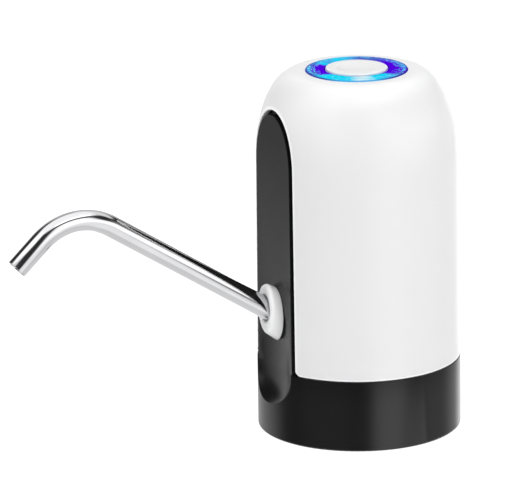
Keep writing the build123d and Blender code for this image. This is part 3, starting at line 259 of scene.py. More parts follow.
@dataclass(frozen=True)
class Finish:
    """A surface finish that makes its own shader. Its name is also its slot in the record."""

    name: str

    def build(self) -> bpy.types.Material:
        """Makes the material of this finish, or finds the one made before.

        Returns:
            The material.
        """
        if self.name in MADE:
            return MADE[self.name]
        material = MADE[self.name] = bpy.data.materials.new(self.name)
        material.use_nodes = True
        graph = Graph(material.node_tree)
        surface = graph.add(Kind.SURFACE)
        graph.add(Kind.OUTPUT, {"Surface": surface.outputs[0]})
        self.paint(graph, surface)
        return material

    def paint(self, graph: Graph, surface: bpy.types.Node) -> None:
        """Sets up the shader. Each kind of finish has its own.

        Args:
            graph: The material's nodes.
            surface: Its main shader.
        """
        raise NotImplementedError


@dataclass(frozen=True)
class MouldedPlastic(Finish):
    """Plastic as it comes from a mould, with slow changes of shade and gloss.

    Its colour drifts to shade over patches, and its roughness by swing over patches a third as
    large. Relief is how deep its grain is, gloss how strongly it mirrors, depth how far light goes
    in, and milkiness how much does. Lacquer is twice as smooth as the plastic under it.
    """

    colour: Colour
    shade: Colour
    roughness: float
    swing: float = 0.04
    patch: float = 22 * MM
    grain: float = 1.5 * MM
    relief: float = 0.0
    gloss: float = 0.5
    lacquer: float = 0.0
    depth: float = 0.0
    milkiness: float = 0.6

    def paint(self, graph: Graph, surface: bpy.types.Node) -> None:
        """Sets up the shader.

        Args:
            graph: The material's nodes.
            surface: Its main shader.
        """
        place = graph.place()
        cloud = graph.remap(graph.noise(place, self.patch), EVEN)
        low, high = self.roughness - self.swing, self.roughness + self.swing
        graph.feed(surface, {
            "Base Color": graph.mix(cloud, self.colour, self.shade),
            "Roughness": graph.remap(graph.noise(place, self.patch / 3), SOFT, (low, high)),
            "Specular IOR Level": self.gloss,
            "Subsurface Weight": self.milkiness if self.depth else 0.0,
            "Subsurface Radius": (1.0, 1.0, 1.0),
            "Subsurface Scale": self.depth,
            "Coat Weight": self.lacquer,
            "Coat Roughness": self.roughness / 2,
        })
        if self.relief:
            grain = graph.noise(place, self.grain, detail=2.0)
            graph.feed(surface, {"Normal": graph.bump(grain, self.relief)})


@dataclass(frozen=True)
class PaintedEdgeHighlight(MouldedPlastic):
    """Moulded plastic with a painted highlight round its slot and low rim.

    The slot's edge is found along Y and the rim by its height, each give or take width. There the
    colour turns to edge and a glow of strength shine is added: both are painted highlight.
    """

    edge: Colour = grey(0.96)
    slot_face: float = -32.4 * MM
    rim_height: float = 26.5 * MM
    width: float = 0.25 * MM
    shine: float = 0.10

    def paint(self, graph: Graph, surface: bpy.types.Node) -> None:
        """Sets up the shader.

        Args:
            graph: The material's nodes.
            surface: Its main shader.
        """
        super().paint(graph, surface)
        _, y, z = graph.split(graph.place())
        front = graph.remap(y, (self.slot_face + self.width, self.slot_face - self.width))
        low = graph.remap(z, (self.rim_height + self.width, self.rim_height - self.width))
        share = graph.math("MAXIMUM", front, low)
        body = surface.inputs["Base Color"].links[0].from_socket
        # Painted highlight: the slot's edge and the low rim turn paler and glow a little.
        graph.feed(surface, {
            "Base Color": graph.mix(share, body, self.edge),
            "Emission Color": WHITE,
            "Emission Strength": graph.math("MULTIPLY", share, self.shine),
        })


@dataclass(frozen=True)
class GradedBlack(MouldedPlastic):
    """Black moulded plastic, glossy at the foot and duller up the panel.

    Each gloss is how strongly it mirrors at the height of that name.
    """

    foot_gloss: float = 0.50
    middle_gloss: float = 0.225
    top_gloss: float = 0.072
    foot_height: float = 15 * MM
    middle_height: float = 34 * MM
    top_height: float = 110 * MM

    def paint(self, graph: Graph, surface: bpy.types.Node) -> None:
        """Sets up the shader.

        Args:
            graph: The material's nodes.
            surface: Its main shader.
        """
        super().paint(graph, surface)
        height = graph.split(graph.place())[2]
        foot = (self.foot_height, self.middle_height)
        low = graph.remap(height, foot, (self.foot_gloss, self.middle_gloss), smooth=True)
        panel = (self.middle_height, self.top_height)
        high = graph.remap(height, panel, (1.0, self.top_gloss / self.middle_gloss))
        graph.feed(surface, {"Specular IOR Level": graph.math("MULTIPLY", low, high)})


@dataclass(frozen=True)
class PaintedLitSide(MouldedPlastic):
    """Milky moulded plastic with painted light that brightens its side towards +X.

    Along X, a painted white glow starts at glow_start and is strongest, at painted_glow, at
    glow_full.
    """

    painted_glow: float = 0.13
    glow_start: float = -1 * MM
    glow_full: float = 5.5 * MM

    def paint(self, graph: Graph, surface: bpy.types.Node) -> None:
        """Sets up the shader.

        Args:
            graph: The material's nodes.
            surface: Its main shader.
        """
        super().paint(graph, surface)
        side = graph.split(graph.place())[0]
        span = (self.glow_start, self.glow_full)
        # Painted light: a white glow that grows along X lightens the side towards +X.
        graph.feed(surface, {
            "Emission Color": WHITE,
            "Emission Strength": graph.remap(side, span, (0.0, self.painted_glow), smooth=True),
        })


@dataclass(frozen=True)
class SoftRubber(Finish):
    """Rubber or silicone, cloudy where it is clear, with a dull skin.

    Swing is how far the roughness changes from grain to grain, relief how deep the grain is, and
    bending its refractive index.
    """

    colour: Colour
    shade: Colour
    roughness: float
    clearness: float = 0.0
    patch: float = 5 * MM
    grain: float = 0.625 * MM
    swing: float = 0.08
    relief: float = 0.01 * MM
    bending: float = 1.41

    def paint(self, graph: Graph, surface: bpy.types.Node) -> None:
        """Sets up the shader.

        Args:
            graph: The material's nodes.
            surface: Its main shader.
        """
        place = graph.place()
        cloud = graph.remap(graph.noise(place, self.patch, detail=4.0), FIRM)
        skin = graph.noise(place, self.grain)
        low, high = self.roughness - self.swing, self.roughness + self.swing
        graph.feed(surface, {
            "Base Color": graph.mix(cloud, self.colour, self.shade),
            "Roughness": graph.remap(skin, EVEN, (low, high)),
            "Normal": graph.bump(skin, self.relief),
            "Transmission Weight": self.clearness,
            "IOR": self.bending,
        })


@dataclass(frozen=True)
class Metal(Finish):
    """Metal with fine marks of its making and faint smears.

    Smear is how much rougher the film on it is, and stretch how much finer its marks are along
    each axis.
    """

    colour: Colour
    shade: Colour
    roughness: float
    smear: float = 0.03
    mark: float = 0.3 * MM
    relief: float = 0.002 * MM
    stretch: Point = (1.0, 1.0, 1.0)
    patch: float = 14 * MM
    film: float = 9 * MM

    def paint(self, graph: Graph, surface: bpy.types.Node) -> None:
        """Sets up the shader.

        Args:
            graph: The material's nodes.
            surface: Its main shader.
        """
        place = graph.place()
        cloud = graph.remap(graph.noise(place, self.patch), EVEN)
        film = graph.noise(place, self.film, detail=5.0)
        ends = (self.roughness, self.roughness + self.smear)
        graph.feed(surface, {
            "Base Color": graph.mix(cloud, self.colour, self.shade),
            "Roughness": graph.remap(film, SMEARED, ends, smooth=True),
            "Metallic": 1.0,
        })
        if self.relief:
            drawn = graph.add(Kind.MAPPING, {"Vector": place, "Scale": self.stretch}).outputs[0]
            marks = graph.noise(drawn, self.mark)
            graph.feed(surface, {"Normal": graph.bump(marks, self.relief)})


@dataclass(frozen=True)
class Flecks:
    """Bright flecks over the lit ring.

    Around and outward are how many cells of noise there are in a turn and across the ring. A
    fleck comes up over the noise values of level, and over the places across the ring of fade.
    """

    colour: Colour
    around: float
    outward: float
    level: Span
    fade: Span
    strength: float
    detail: float


@dataclass(frozen=True)
class GlowRing(Finish):
    """A clear ring lit from below by coloured lamps, so its colour changes round and across it.

    The stops of a row are shares of a turn, counted from the front (-Y) towards +X. The pale stop
    near a fifth of a turn is a painted highlight. Places across the ring go from 0 at its inner
    edge to 1 at its outer edge: those of the border, rim and lip are where one row of colours
    passes into the next. Sway and drift are how far the colours' ends stray round and across the
    ring.
    """

    inner_radius: float
    outer_radius: float
    inner: Stops
    outer: Stops
    rim: Stops
    line: Colour
    flecks: tuple[Flecks, ...]
    border: Span = (0.56, 0.80)
    rim_span: Span = (0.90, 0.96)
    rim_share: float = 0.85
    lip_span: Span = (0.10, 0.03)
    lip_share: float = 0.7
    sway: float = 0.018
    sway_patch: float = 4 * MM
    drift: float = 0.16
    drift_patch: float = 2.5 * MM
    brightness: float = 0.77
    roughness: float = 0.4
    grain: float = 1.5 * MM
    relief: float = 0.02 * MM

    def scatter(
        self, graph: Graph, flecks: Flecks, colour: Socket, turn: Socket, across: Socket,
    ) -> Socket:
        """Lays flecks over a colour.

        Args:
            graph: The material's nodes.
            flecks: The flecks.
            colour: The colour below them.
            turn: The share of a turn.
            across: The place across the ring.

        Returns:
            The socket of the colour with its flecks.
        """
        around = graph.math("MULTIPLY", turn, flecks.around)
        outward = graph.math("MULTIPLY", across, flecks.outward)
        cell = graph.add(Kind.JOIN, {0: around, 1: outward}).outputs[0]
        shown = graph.remap(graph.noise(cell, 1.0, flecks.detail), flecks.level, smooth=True)
        cover = graph.remap(across, flecks.fade, (0.0, flecks.strength))
        return graph.mix(graph.math("MULTIPLY", shown, cover), colour, flecks.colour)

    def paint(self, graph: Graph, surface: bpy.types.Node) -> None:
        """Sets up the shader.

        Args:
            graph: The material's nodes.
            surface: Its main shader.
        """
        place = graph.place()
        x, y, _ = graph.split(place)
        angle = graph.math("ARCTAN2", x, graph.math("MULTIPLY", y, -1.0))
        turn = graph.math("DIVIDE", angle, 2 * math.pi)
        turn = graph.math("FRACT", graph.math("ADD", turn, 1.0))
        squares = graph.math("ADD", graph.math("POWER", x, 2.0), graph.math("POWER", y, 2.0))
        radius = graph.math("SQRT", squares)
        across = graph.remap(radius, (self.inner_radius, self.outer_radius))
        noise = graph.noise(place, self.sway_patch, detail=2.0)
        sway = graph.remap(noise, SOFT, (-self.sway, self.sway))
        share = graph.math("ADD", graph.math("ADD", turn, sway), 1.0)
        share = graph.math("FRACT", share)
        noise = graph.noise(place, self.drift_patch, detail=2.0)
        drift = graph.remap(noise, SOFT, (-self.drift, self.drift))
        part = graph.remap(graph.math("ADD", across, drift), self.border, smooth=True)
        colour = graph.mix(part, graph.ramp(share, self.inner), graph.ramp(share, self.outer))
        for flecks in self.flecks:
            colour = self.scatter(graph, flecks, colour, turn, across)
        rim = graph.remap(across, self.rim_span, (0.0, self.rim_share), smooth=True)
        colour = graph.mix(rim, colour, graph.ramp(turn, self.rim))
        lip = graph.remap(across, self.lip_span, (0.0, self.lip_share), smooth=True)
        graph.feed(surface, {
            "Base Color": BLACK,
            "Emission Color": graph.mix(lip, colour, self.line),
            "Emission Strength": self.brightness,
            "Roughness": self.roughness,
            "Specular IOR Level": 0.0,
            "Normal": graph.bump(graph.noise(place, self.grain), self.relief),
        })


@dataclass(frozen=True)
class CircuitBoard(Finish):
    """Green lacquer over copper tracks.

    The tracks' width is a share of their pitch.
    """

    lacquer: Colour = (0.012, 0.115, 0.045)
    track: Colour = (0.03, 0.21, 0.075)
    pitch: float = 2.2 * MM
    track_share: float = 0.07
    track_height: float = 0.035 * MM
    roughness: Span = (0.22, 0.34)
    patch: float = 2 * MM
    coat: float = 0.5

    def paint(self, graph: Graph, surface: bpy.types.Node) -> None:
        """Sets up the shader.

        Args:
            graph: The material's nodes.
            surface: Its main shader.
        """
        place = graph.place()
        tracks = graph.add(Kind.BRICKS, {
            "Vector": place, "Scale": 1 / self.pitch, "Mortar Size": self.track_share,
            "Color1": BLACK, "Color2": BLACK, "Mortar": WHITE,
        }).outputs[0]
        graph.feed(surface, {
            "Base Color": graph.mix(tracks, self.lacquer, self.track),
            "Roughness": graph.remap(graph.noise(place, self.patch), EVEN, self.roughness),
            "Normal": graph.bump(tracks, self.track_height),
            "Coat Weight": self.coat,
        })


@dataclass(frozen=True)
class WoundWire(Finish):
    """Enamelled copper wire wound on steel.

    Stray is how far its turns stray from a straight line.
    """

    wire: Colour = (0.60, 0.24, 0.09)
    gap: Colour = (0.16, 0.06, 0.03)
    pitch: float = 0.35 * MM
    stray: float = 0.6
    relief: float = 0.08 * MM
    metal: float = 0.8
    roughness: float = 0.35

    def paint(self, graph: Graph, surface: bpy.types.Node) -> None:
        """Sets up the shader.

        Args:
            graph: The material's nodes.
            surface: Its main shader.
        """
        turns = graph.add(Kind.WAVE, {
            "Vector": graph.place(), "Scale": 1 / self.pitch, "Distortion": self.stray,
            "Detail": 1.0,
        }, bands_direction="Z").outputs[0]
        graph.feed(surface, {
            "Base Color": graph.mix(turns, self.gap, self.wire),
            "Normal": graph.bump(turns, self.relief),
            "Metallic": self.metal,
            "Roughness": self.roughness,
        })


# The white cover's finish paints a highlight along its slot and low rim.
WHITE_COVER = PaintedEdgeHighlight("white_cover", grey(0.87), grey(0.86), 0.30, swing=0.02)
WHITE_BUTTON = MouldedPlastic(
    "white_button", (0.85, 0.85, 0.855), (0.845, 0.845, 0.85), 0.28, swing=0.003,
)
BLACK_HOUSING = GradedBlack(
    "black_housing", (0.0040, 0.0040, 0.0043), (0.0055, 0.0055, 0.0058), 0.26,
    swing=0.008, gloss=0.225,
)
# The collar's finish paints light onto its side towards +X.
GREY_COLLAR = PaintedLitSide(
    "grey_collar", (0.85, 0.85, 0.855), (0.83, 0.83, 0.835), 0.22, depth=4 * MM,
)
WHITE_FITTING = MouldedPlastic(
    "white_fitting", (0.72, 0.72, 0.70), (0.66, 0.66, 0.64), 0.42, patch=6 * MM,
)
PUMP_PLASTIC = MouldedPlastic(
    "pump_plastic", (0.48, 0.48, 0.46), (0.41, 0.41, 0.40), 0.50, patch=8 * MM,
)
CAM_PLASTIC = MouldedPlastic(
    "cam_plastic", (0.69, 0.69, 0.64), (0.62, 0.62, 0.58), 0.38, patch=4 * MM,
)
CHASSIS_PLASTIC = MouldedPlastic(
    "chassis_plastic", (0.60, 0.60, 0.58), (0.54, 0.54, 0.52), 0.46,
)
SWITCH_BLACK = MouldedPlastic(
    "switch_black", (0.012, 0.012, 0.013), (0.02, 0.02, 0.021), 0.45, patch=3 * MM,
)
MOTOR_CAP = MouldedPlastic(
    "motor_cap", (0.016, 0.016, 0.018), (0.025, 0.025, 0.027), 0.5, patch=4 * MM,
)
LAMP_BODIES = MouldedPlastic(
    "lamp_bodies", (0.70, 0.68, 0.42), (0.62, 0.58, 0.32), 0.2, patch=1.5 * MM, lacquer=0.6,
)
CELL_WRAP = MouldedPlastic(
    "cell_wrap", (0.016, 0.072, 0.26), (0.012, 0.055, 0.21), 0.26,
    patch=9 * MM, grain=2.5 * MM, relief=0.02 * MM, lacquer=0.4,
)
LEAD_COVER = MouldedPlastic(
    "lead_cover", (0.26, 0.006, 0.006), (0.2, 0.005, 0.005), 0.36, patch=3 * MM,
)
CLEAR_SILICONE = SoftRubber(
    "clear_silicone", (0.72, 0.74, 0.72), (0.62, 0.65, 0.63), 0.36, clearness=0.35,
)
BLACK_RUBBER = SoftRubber("black_rubber", grey(0.012), grey(0.02), 0.58)
POLISHED_STEEL = Metal(
    "polished_steel", (0.57, 0.57, 0.58), (0.53, 0.53, 0.54), 0.10, smear=0.05, relief=0.0,
)
ZINC_SCREWS = Metal(
    "zinc_screws", (0.52, 0.53, 0.55), (0.42, 0.43, 0.44), 0.3, smear=0.15,
)
MOTOR_STEEL = Metal(
    "motor_steel", (0.50, 0.50, 0.49), (0.42, 0.42, 0.41), 0.28, smear=0.12, stretch=(1, 1, 12),
)
SOCKET_METAL = Metal("socket_metal", grey(0.60), grey(0.50), 0.24, smear=0.1)
MAGNET_GREY = Metal(
    "magnet_grey", (0.06, 0.06, 0.065), (0.04, 0.04, 0.045), 0.6, relief=0.02 * MM,
)
BOARD = CircuitBoard("circuit_board")
WINDING = WoundWire("rotor_copper")

VIOLET = (0.085, 0.0, 0.72)
DARK_BLUE = (0.045, 0.01, 0.30)
DEEP_BLUE = (0.07, 0.10, 0.54)
SKY_BLUE = (0.06, 0.36, 0.76)
CYAN = (0.003, 0.66, 0.90)
# A painted highlight: this pale colour stands in for a reflection on the ring.
PAINTED_HIGHLIGHT = (0.74, 0.86, 0.90)
LIT_RING = GlowRing(
    "light_ring", 11.3 * MM, 18.2 * MM,
    # Both rows hold the painted highlight about a fifth of a turn round from the front.
    inner=(
        (0.00, VIOLET), (0.035, VIOLET), (0.06, CYAN), (0.15, CYAN), (0.205, PAINTED_HIGHLIGHT),
        (0.24, CYAN), (0.30, CYAN), (0.335, VIOLET), (0.55, VIOLET), (0.59, DEEP_BLUE),
        (0.66, DEEP_BLUE), (0.70, SKY_BLUE), (0.76, CYAN), (0.81, SKY_BLUE), (0.845, CYAN),
        (0.87, VIOLET), (1.00, VIOLET),
    ),
    outer=(
        (0.00, DEEP_BLUE), (0.05, CYAN), (0.15, CYAN), (0.205, PAINTED_HIGHLIGHT), (0.24, CYAN),
        (0.32, SKY_BLUE), (0.36, DEEP_BLUE), (0.42, VIOLET), (0.46, SKY_BLUE),
        (0.52, DEEP_BLUE), (0.64, DEEP_BLUE), (0.68, SKY_BLUE), (0.74, CYAN),
        (0.82, SKY_BLUE), (0.88, DEEP_BLUE), (0.94, SKY_BLUE), (1.00, DEEP_BLUE),
    ),
    rim=(
        (0.00, DARK_BLUE), (0.07, DARK_BLUE), (0.13, SKY_BLUE), (0.24, SKY_BLUE),
        (0.30, DARK_BLUE), (0.52, DARK_BLUE), (0.60, DEEP_BLUE), (0.76, SKY_BLUE),
        (0.86, DARK_BLUE), (1.00, DARK_BLUE),
    ),
    line=DARK_BLUE,
    flecks=(
        Flecks((0.09, 0.60, 0.86), 18.0, 8.0, (0.54, 0.62), (0.30, 0.6), 0.75, detail=2.0),
        Flecks((0.30, 0.82, 0.95), 64.0, 11.0, (0.60, 0.66), (0.35, 0.6), 0.8, detail=1.0),
    ),
)

FINISHES: dict[str, Finish] = {
    finish.name: finish
    for finish in (
        WHITE_COVER, WHITE_BUTTON, BLACK_HOUSING, GREY_COLLAR, WHITE_FITTING, PUMP_PLASTIC,
        CAM_PLASTIC, CHASSIS_PLASTIC, SWITCH_BLACK, MOTOR_CAP, LAMP_BODIES, CELL_WRAP,
        LEAD_COVER, CLEAR_SILICONE, BLACK_RUBBER, POLISHED_STEEL, ZINC_SCREWS, MOTOR_STEEL,
        SOCKET_METAL, MAGNET_GREY, BOARD, WINDING, LIT_RING,
    )
}


def put(name: str, data: bpy.types.ID) -> bpy.types.Object:
    """Makes an object of a mesh or a camera, and links it to the scene.

    Args:
        name: The object's name.
        data: Its mesh or camera.

    Returns:
        The object.
    """
    item = bpy.data.objects.new(name, data)
    bpy.context.scene.collection.objects.link(item)
    return item


def finished(mesh: bpy.types.Mesh, finish: Finish) -> bpy.types.Object:
    """Makes a mesh a piece of the scene, with its finish and slot.

    Args:
        mesh: The mesh, which has the piece's name.
        finish: Its surface finish.

    Returns:
        The piece.
    """
    mesh.materials.clear()
    mesh.materials.append(finish.build())
    piece = put(mesh.name, mesh)
    return piece


def evened_copy(
    node: str, limit: float = 20.0, apart: float = 0.001 * MM, digits: int = 3,
) -> bpy.types.Object:
    """Copies a CAD node, with its shading made even across the seams of its faces.

    Args:
        node: The node's name.
        limit: The angle up to which normals at one point are averaged, in degrees.
        apart: How far apart two corners can be and still count as one point.
        digits: The decimals to which two normals are alike enough to count once.

    Returns:
        The copy.
    """
    mesh = frame["nodes"][node].data.copy()
    mesh.name = node + "_evened"
    normals = [corner.vector.copy() for corner in mesh.corner_normals]
    points: dict[tuple[int, ...], list[int]] = {}
    for corner in mesh.loops:
        spot = mesh.vertices[corner.vertex_index].co
        points.setdefault(tuple(round(value / apart) for value in spot), []).append(corner.index)
    near = math.cos(math.radians(limit))
    evened = list(normals)
    for corners in points.values():
        ways = {}
        for corner in corners:
            ways[tuple(round(value, digits) for value in normals[corner])] = normals[corner]
        if len(ways) > 1:
            for corner in corners:
                alike = [way for way in ways.values() if way.dot(normals[corner]) > near]
                evened[corner] = sum(alike, Vector()).normalized()
    mesh.normals_split_custom_set(evened)
    return finished(mesh, FINISHES[SLOTS[node]])


def smooth_piece(
    name: str, work: bmesh.types.BMesh, finish: Finish, sharp: float = 35.0,
) -> bpy.types.Object:
    """Turns finished geometry into a smooth-shaded piece.

    Args:
        name: The piece's name.
        work: Its geometry, which is used up.
        finish: Its surface finish.
        sharp: The angle from which an edge stays sharp, in degrees.

    Returns:
        The piece.
    """
    mesh = bpy.data.meshes.new(name)
    bmesh.ops.recalc_face_normals(work, faces=work.faces)
    work.to_mesh(mesh)
    work.free()
    mesh.shade_smooth()
    mesh.set_sharp_from_angle(angle=math.radians(sharp))
    return finished(mesh, finish)


def skinned(rings: list[list[bmesh.types.BMVert]], work: bmesh.types.BMesh) -> bmesh.types.BMesh:
    """Joins closed rings of points into one closed skin.

    Args:
        rings: Rings of as many points each, in order, with the last joined to the first.
        work: The geometry that they are in.

    Returns:
        That geometry.
    """
    for place, ring in enumerate(rings):
        after = rings[(place + 1) % len(rings)]
        for step in range(len(ring)):
            beyond = (step + 1) % len(ring)
            work.faces.new((ring[step], ring[beyond], after[beyond], after[step]))
    return work


def turned(outline: list[Span], segments: int) -> bmesh.types.BMesh:
    """Turns a closed outline round the upright axis.

    Args:
        outline: Radii and heights, in order, with the last joined to the first. None is on the
            axis.
        segments: How many steps a turn has.

    Returns:
        The geometry.
    """
    work = bmesh.new()
    rings = []
    for step in range(segments):
        angle = 2 * math.pi * step / segments
        across, along = math.cos(angle), math.sin(angle)
        rings.append([work.verts.new((r * across, r * along, z)) for r, z in outline])
    return skinned(rings, work)


def swept(circles: list[Circle], segments: int) -> bmesh.types.BMesh:
    """Joins circles into a closed skin. They all stand across directions in the YZ plane.

    Args:
        circles: The centre, the radius and the direction of each, in order, with the last
            joined to the first.
        segments: How many steps a circle has.

    Returns:
        The geometry.
    """
    work = bmesh.new()
    turns = [2 * math.pi * step / segments for step in range(segments)]
    rings = []
    for centre, radius, way in circles:
        above = RIGHT.cross(way).normalized()
        above *= 1 if above.z >= 0 else -1
        spokes = [RIGHT * math.cos(turn) + above * math.sin(turn) for turn in turns]
        rings.append([work.verts.new(centre + spoke * radius) for spoke in spokes])
    return skinned(rings, work)


def arc_points(centre: Span, radius: float, start: float, end: float, steps: int) -> list[Span]:
    """Lists the points of an arc.

    Args:
        centre: Its centre.
        radius: Its radius.
        start: The angle of its first point, in degrees.
        end: The angle of its last point.
        steps: How many steps it is divided in.

    Returns:
        Its points, both ends included.
    """
    angles = [math.radians(start + (end - start) * step / steps) for step in range(steps + 1)]
    return [(centre[0] + radius * math.cos(a), centre[1] + radius * math.sin(a)) for a in angles]


@dataclass
class SubAssembly:
    """A group of pieces that are built and dressed together.

    The nodes in seamless, all fixed, are shown by evened copies.
    """

    title: str = ""
    nodes: tuple[str, ...] = ()
    seamless: tuple[str, ...] = ()

    def dress(self) -> None:
        """Gives each CAD node of the group its finish."""
        for name in self.nodes:
            mesh = frame["nodes"][name].data
            mesh.materials.clear()
            mesh.materials.append(FINISHES[SLOTS[name]].build())

    def build(self) -> list[str]:
        """Builds and dresses the group.

        Returns:
            The names of its pieces.
        """
        self.dress()
        names = list(self.nodes)
        for node in self.seamless:
            piece = evened_copy(node)
            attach(piece, "root")
            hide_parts(node)
            names.append(piece.name)
        return names


@dataclass
class Cover(SubAssembly):
    """The white domed cover."""

    title: str = "cover"
    nodes: tuple[str, ...] = ("outer_shell",)
    seamless: tuple[str, ...] = ("outer_shell",)


@dataclass
class Base(SubAssembly):
    """The black base with its front panel and what grips the bottle."""

    title: str = "base"
    nodes: tuple[str, ...] = (
        "base_housing", "neck_seal", "neck_grip", "inlet_fitting", "inlet_nut", "foot_screws",
    )
    seamless: tuple[str, ...] = ("base_housing",)


@dataclass
class Spout(SubAssembly):
    """The collar, the soft sleeve and the bent steel tube.

    The lips are the roundings of the tube's cut ends, and the radius of the bend is along its
    middle line.
    """

    title: str = "spout"
    nodes: tuple[str, ...] = ("spout_collar", "spout_sleeve", "spout_tube")
    seamless: tuple[str, ...] = ("spout_collar",)
    wall: float = 0.5 * MM
    bend_radius: float = 21.8 * MM
    bend_steps: int = 72
    segments: int = 96
    outer_lip: float = 0.16 * MM
    outer_steps: int = 4
    inner_lip: float = 0.1 * MM
    inner_steps: int = 3

    def lip(self, end: Vector, way: Vector, radius: float) -> list[tuple[Vector, float]]:
        """Lists the circles round a tube's cut end, from its outer face to its bore.

        Args:
            end: The centre of the end.
            way: The direction out of the tube there.
            radius: The tube's outer radius.

        Returns:
            The centre and the radius of each circle.
        """
        outer, inner = self.outer_lip, self.inner_lip
        bore = radius - self.wall
        points = arc_points((-outer, radius - outer), outer, 90, 0, self.outer_steps)
        points += arc_points((-inner, bore + inner), inner, 0, -90, self.inner_steps)
        return [(end + way * reach, size) for reach, size in points]

    def bend(self, middle: Vector, out: Vector, turn: float, radius: float) -> list[Circle]:
        """Lists the circles along the tube's bend.

        Args:
            middle: The centre of the bend.
            out: The direction of the tube before it.
            turn: How far it turns, in radians.
            radius: The radius of the circles.

        Returns:
            The centre, the radius and the direction of each circle.
        """
        circles = []
        for step in range(self.bend_steps + 1):
            way = Matrix.Rotation(turn * step / self.bend_steps, 3, "X") @ out
            circles.append((middle - RIGHT.cross(way) * self.bend_radius, radius, way))
        return circles

    def tube(self) -> bpy.types.Object:
        """Bends the steel tube along the line of the CAD spout, with softly broken edges.

        Returns:
            The tube.
        """
        joint = next(row for row in frame["joints"] if row["name"] == "spout_turn")
        mount = next(row for row in frame["record"]["mounts"] if row["name"] == "spout_tip")
        seat, out = Vector(joint["pos_m"]), Vector(joint["axis"])
        tip, down = Vector(mount["pos_m"]), Vector(mount["axis"])
        radius = mount["dims"]["r_mm"] * MM
        # The inner end is cut square, and reaches as far along Y as the CAD tube does.
        inner_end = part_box("spout_tube")[1][1]
        start = seat + out * ((inner_end - radius * out.z - seat.y) / out.y)
        turn = out.angle(down)
        tip_length = mount["dims"]["length_mm"] * MM
        middle = tip - down * tip_length + RIGHT.cross(down) * self.bend_radius
        circles = [(place, size, -out) for place, size in reversed(self.lip(start, -out, radius))]
        circles += self.bend(middle, out, turn, radius)
        circles += [(place, size, down) for place, size in self.lip(tip, down, radius)]
        circles += reversed(self.bend(middle, out, turn, radius - self.wall))
        return smooth_piece("spout_tube_bent", swept(circles, self.segments), POLISHED_STEEL)

    def build(self) -> list[str]:
        """Builds and dresses the group.

        Returns:
            The names of its pieces.
        """
        names = super().build()
        tube = self.tube()
        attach(tube, "spout")
        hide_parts("spout_tube")
        return [*names, tube.name]


@dataclass
class TopControls(SubAssembly):
    """The lit ring, the button and their board.

    The rings are the radii of the dish's points inside and outside the finger groove. The hub is
    the pinhole that stands for the axis, and the clearance is between the flange and the ring.
    """

    title: str = "top controls"
    nodes: tuple[str, ...] = (
        "light_ring", "button_cap", "control_board", "board_screws", "board_lights",
        "switch_body", "switch_plunger",
    )
    segments: int = 192
    button_radius: float = 11.0 * MM
    edge_radius: float = 0.5 * MM
    edge_steps: int = 8
    dish_radius: float = 8.0 * MM
    dish_depth: float = 0.35 * MM
    inner_rings: tuple[float, ...] = tuple(step * MM / 2 for step in range(1, 12))
    outer_rings: tuple[float, ...] = (7.0 * MM, 7.5 * MM)
    groove_radius: float = 6.75 * MM
    groove_width: float = 0.36 * MM
    groove_depth: float = 0.22 * MM
    flange_height: float = 1.0 * MM
    clearance: float = 0.1 * MM
    wall: float = 1.4 * MM
    top_wall: float = 2.8 * MM
    stem_radius: float = 3.15 * MM
    hub: float = 0.02 * MM
    crown: float = 0.25 * MM
    crown_steps: int = 8
    ring_round: float = 0.35 * MM
    ring_flange: float = 1.2 * MM

    def button(self) -> bpy.types.Object:
        """Turns the button's cap, with its dished top, finger groove, skirt, flange and stem.

        Returns:
            The cap.
        """
        low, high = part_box("button_cap")
        top, bottom, flange = high[2], low[2], high[0]
        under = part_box("light_ring")[0][2] - self.clearance
        plate = top - self.top_wall
        ball = (self.dish_radius**2 + self.dish_depth**2) / (2 * self.dish_depth)

        def dish(radius: float) -> float:
            """Returns the height of the dished top at a radius."""
            return top - self.dish_depth + ball - math.sqrt(ball**2 - radius**2)

        groove, half = self.groove_radius, self.groove_width / 2
        floor = dish(groove) - self.groove_depth
        rounding = (self.button_radius - self.edge_radius, top - self.edge_radius)
        bore = self.button_radius - self.wall
        outline = [(r, dish(r)) for r in (self.hub, *self.inner_rings, groove - half)]
        outline += [(groove - half / 2, floor), (groove + half / 2, floor)]
        outline += [(r, dish(r)) for r in (groove + half, *self.outer_rings)]
        outline += [(self.dish_radius, top)]
        outline += arc_points(rounding, self.edge_radius, 90, 0, self.edge_steps)
        outline += [
            (self.button_radius, under), (flange, under), (flange, under - self.flange_height),
            (bore, under - self.flange_height), (bore, plate), (self.stem_radius, plate),
            (self.stem_radius, bottom), (self.hub, bottom),
        ]
        return smooth_piece("button_turned", turned(outline, self.segments), WHITE_BUTTON)

    def ring(self) -> bpy.types.Object:
        """Turns the clear light ring, with a crowned top, rounded lips and a flange below.

        Returns:
            The ring.
        """
        low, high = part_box("light_ring")
        inner, outer, flange = LIT_RING.inner_radius, LIT_RING.outer_radius, high[0]
        bottom, top = low[2], high[2]
        lip = top - self.crown - self.ring_round
        half = (outer - inner) / 2 - self.ring_round / 2
        ball = (half**2 + self.crown**2) / (2 * self.crown)
        outline = [(inner, lip)]
        for step in range(-self.crown_steps, self.crown_steps + 1):
            aside = half * step / self.crown_steps
            rise = top - ball + math.sqrt(ball**2 - aside**2)
            outline.append(((inner + outer) / 2 + aside, rise))
        outline += [
            (outer, lip), (outer, bottom + self.ring_flange), (flange, bottom + self.ring_flange),
            (flange, bottom), (inner, bottom),
        ]
        return smooth_piece("light_ring_turned", turned(outline, self.segments), LIT_RING)

    def build(self) -> list[str]:
        """Builds and dresses the group.

        Returns:
            The names of its pieces.
        """
        names = super().build()
        button = self.button()
        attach(button, "button")
        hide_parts("button_cap")
        ring = self.ring()
        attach(ring, "root")
        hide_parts("light_ring")
        return [*names, button.name, ring.name]


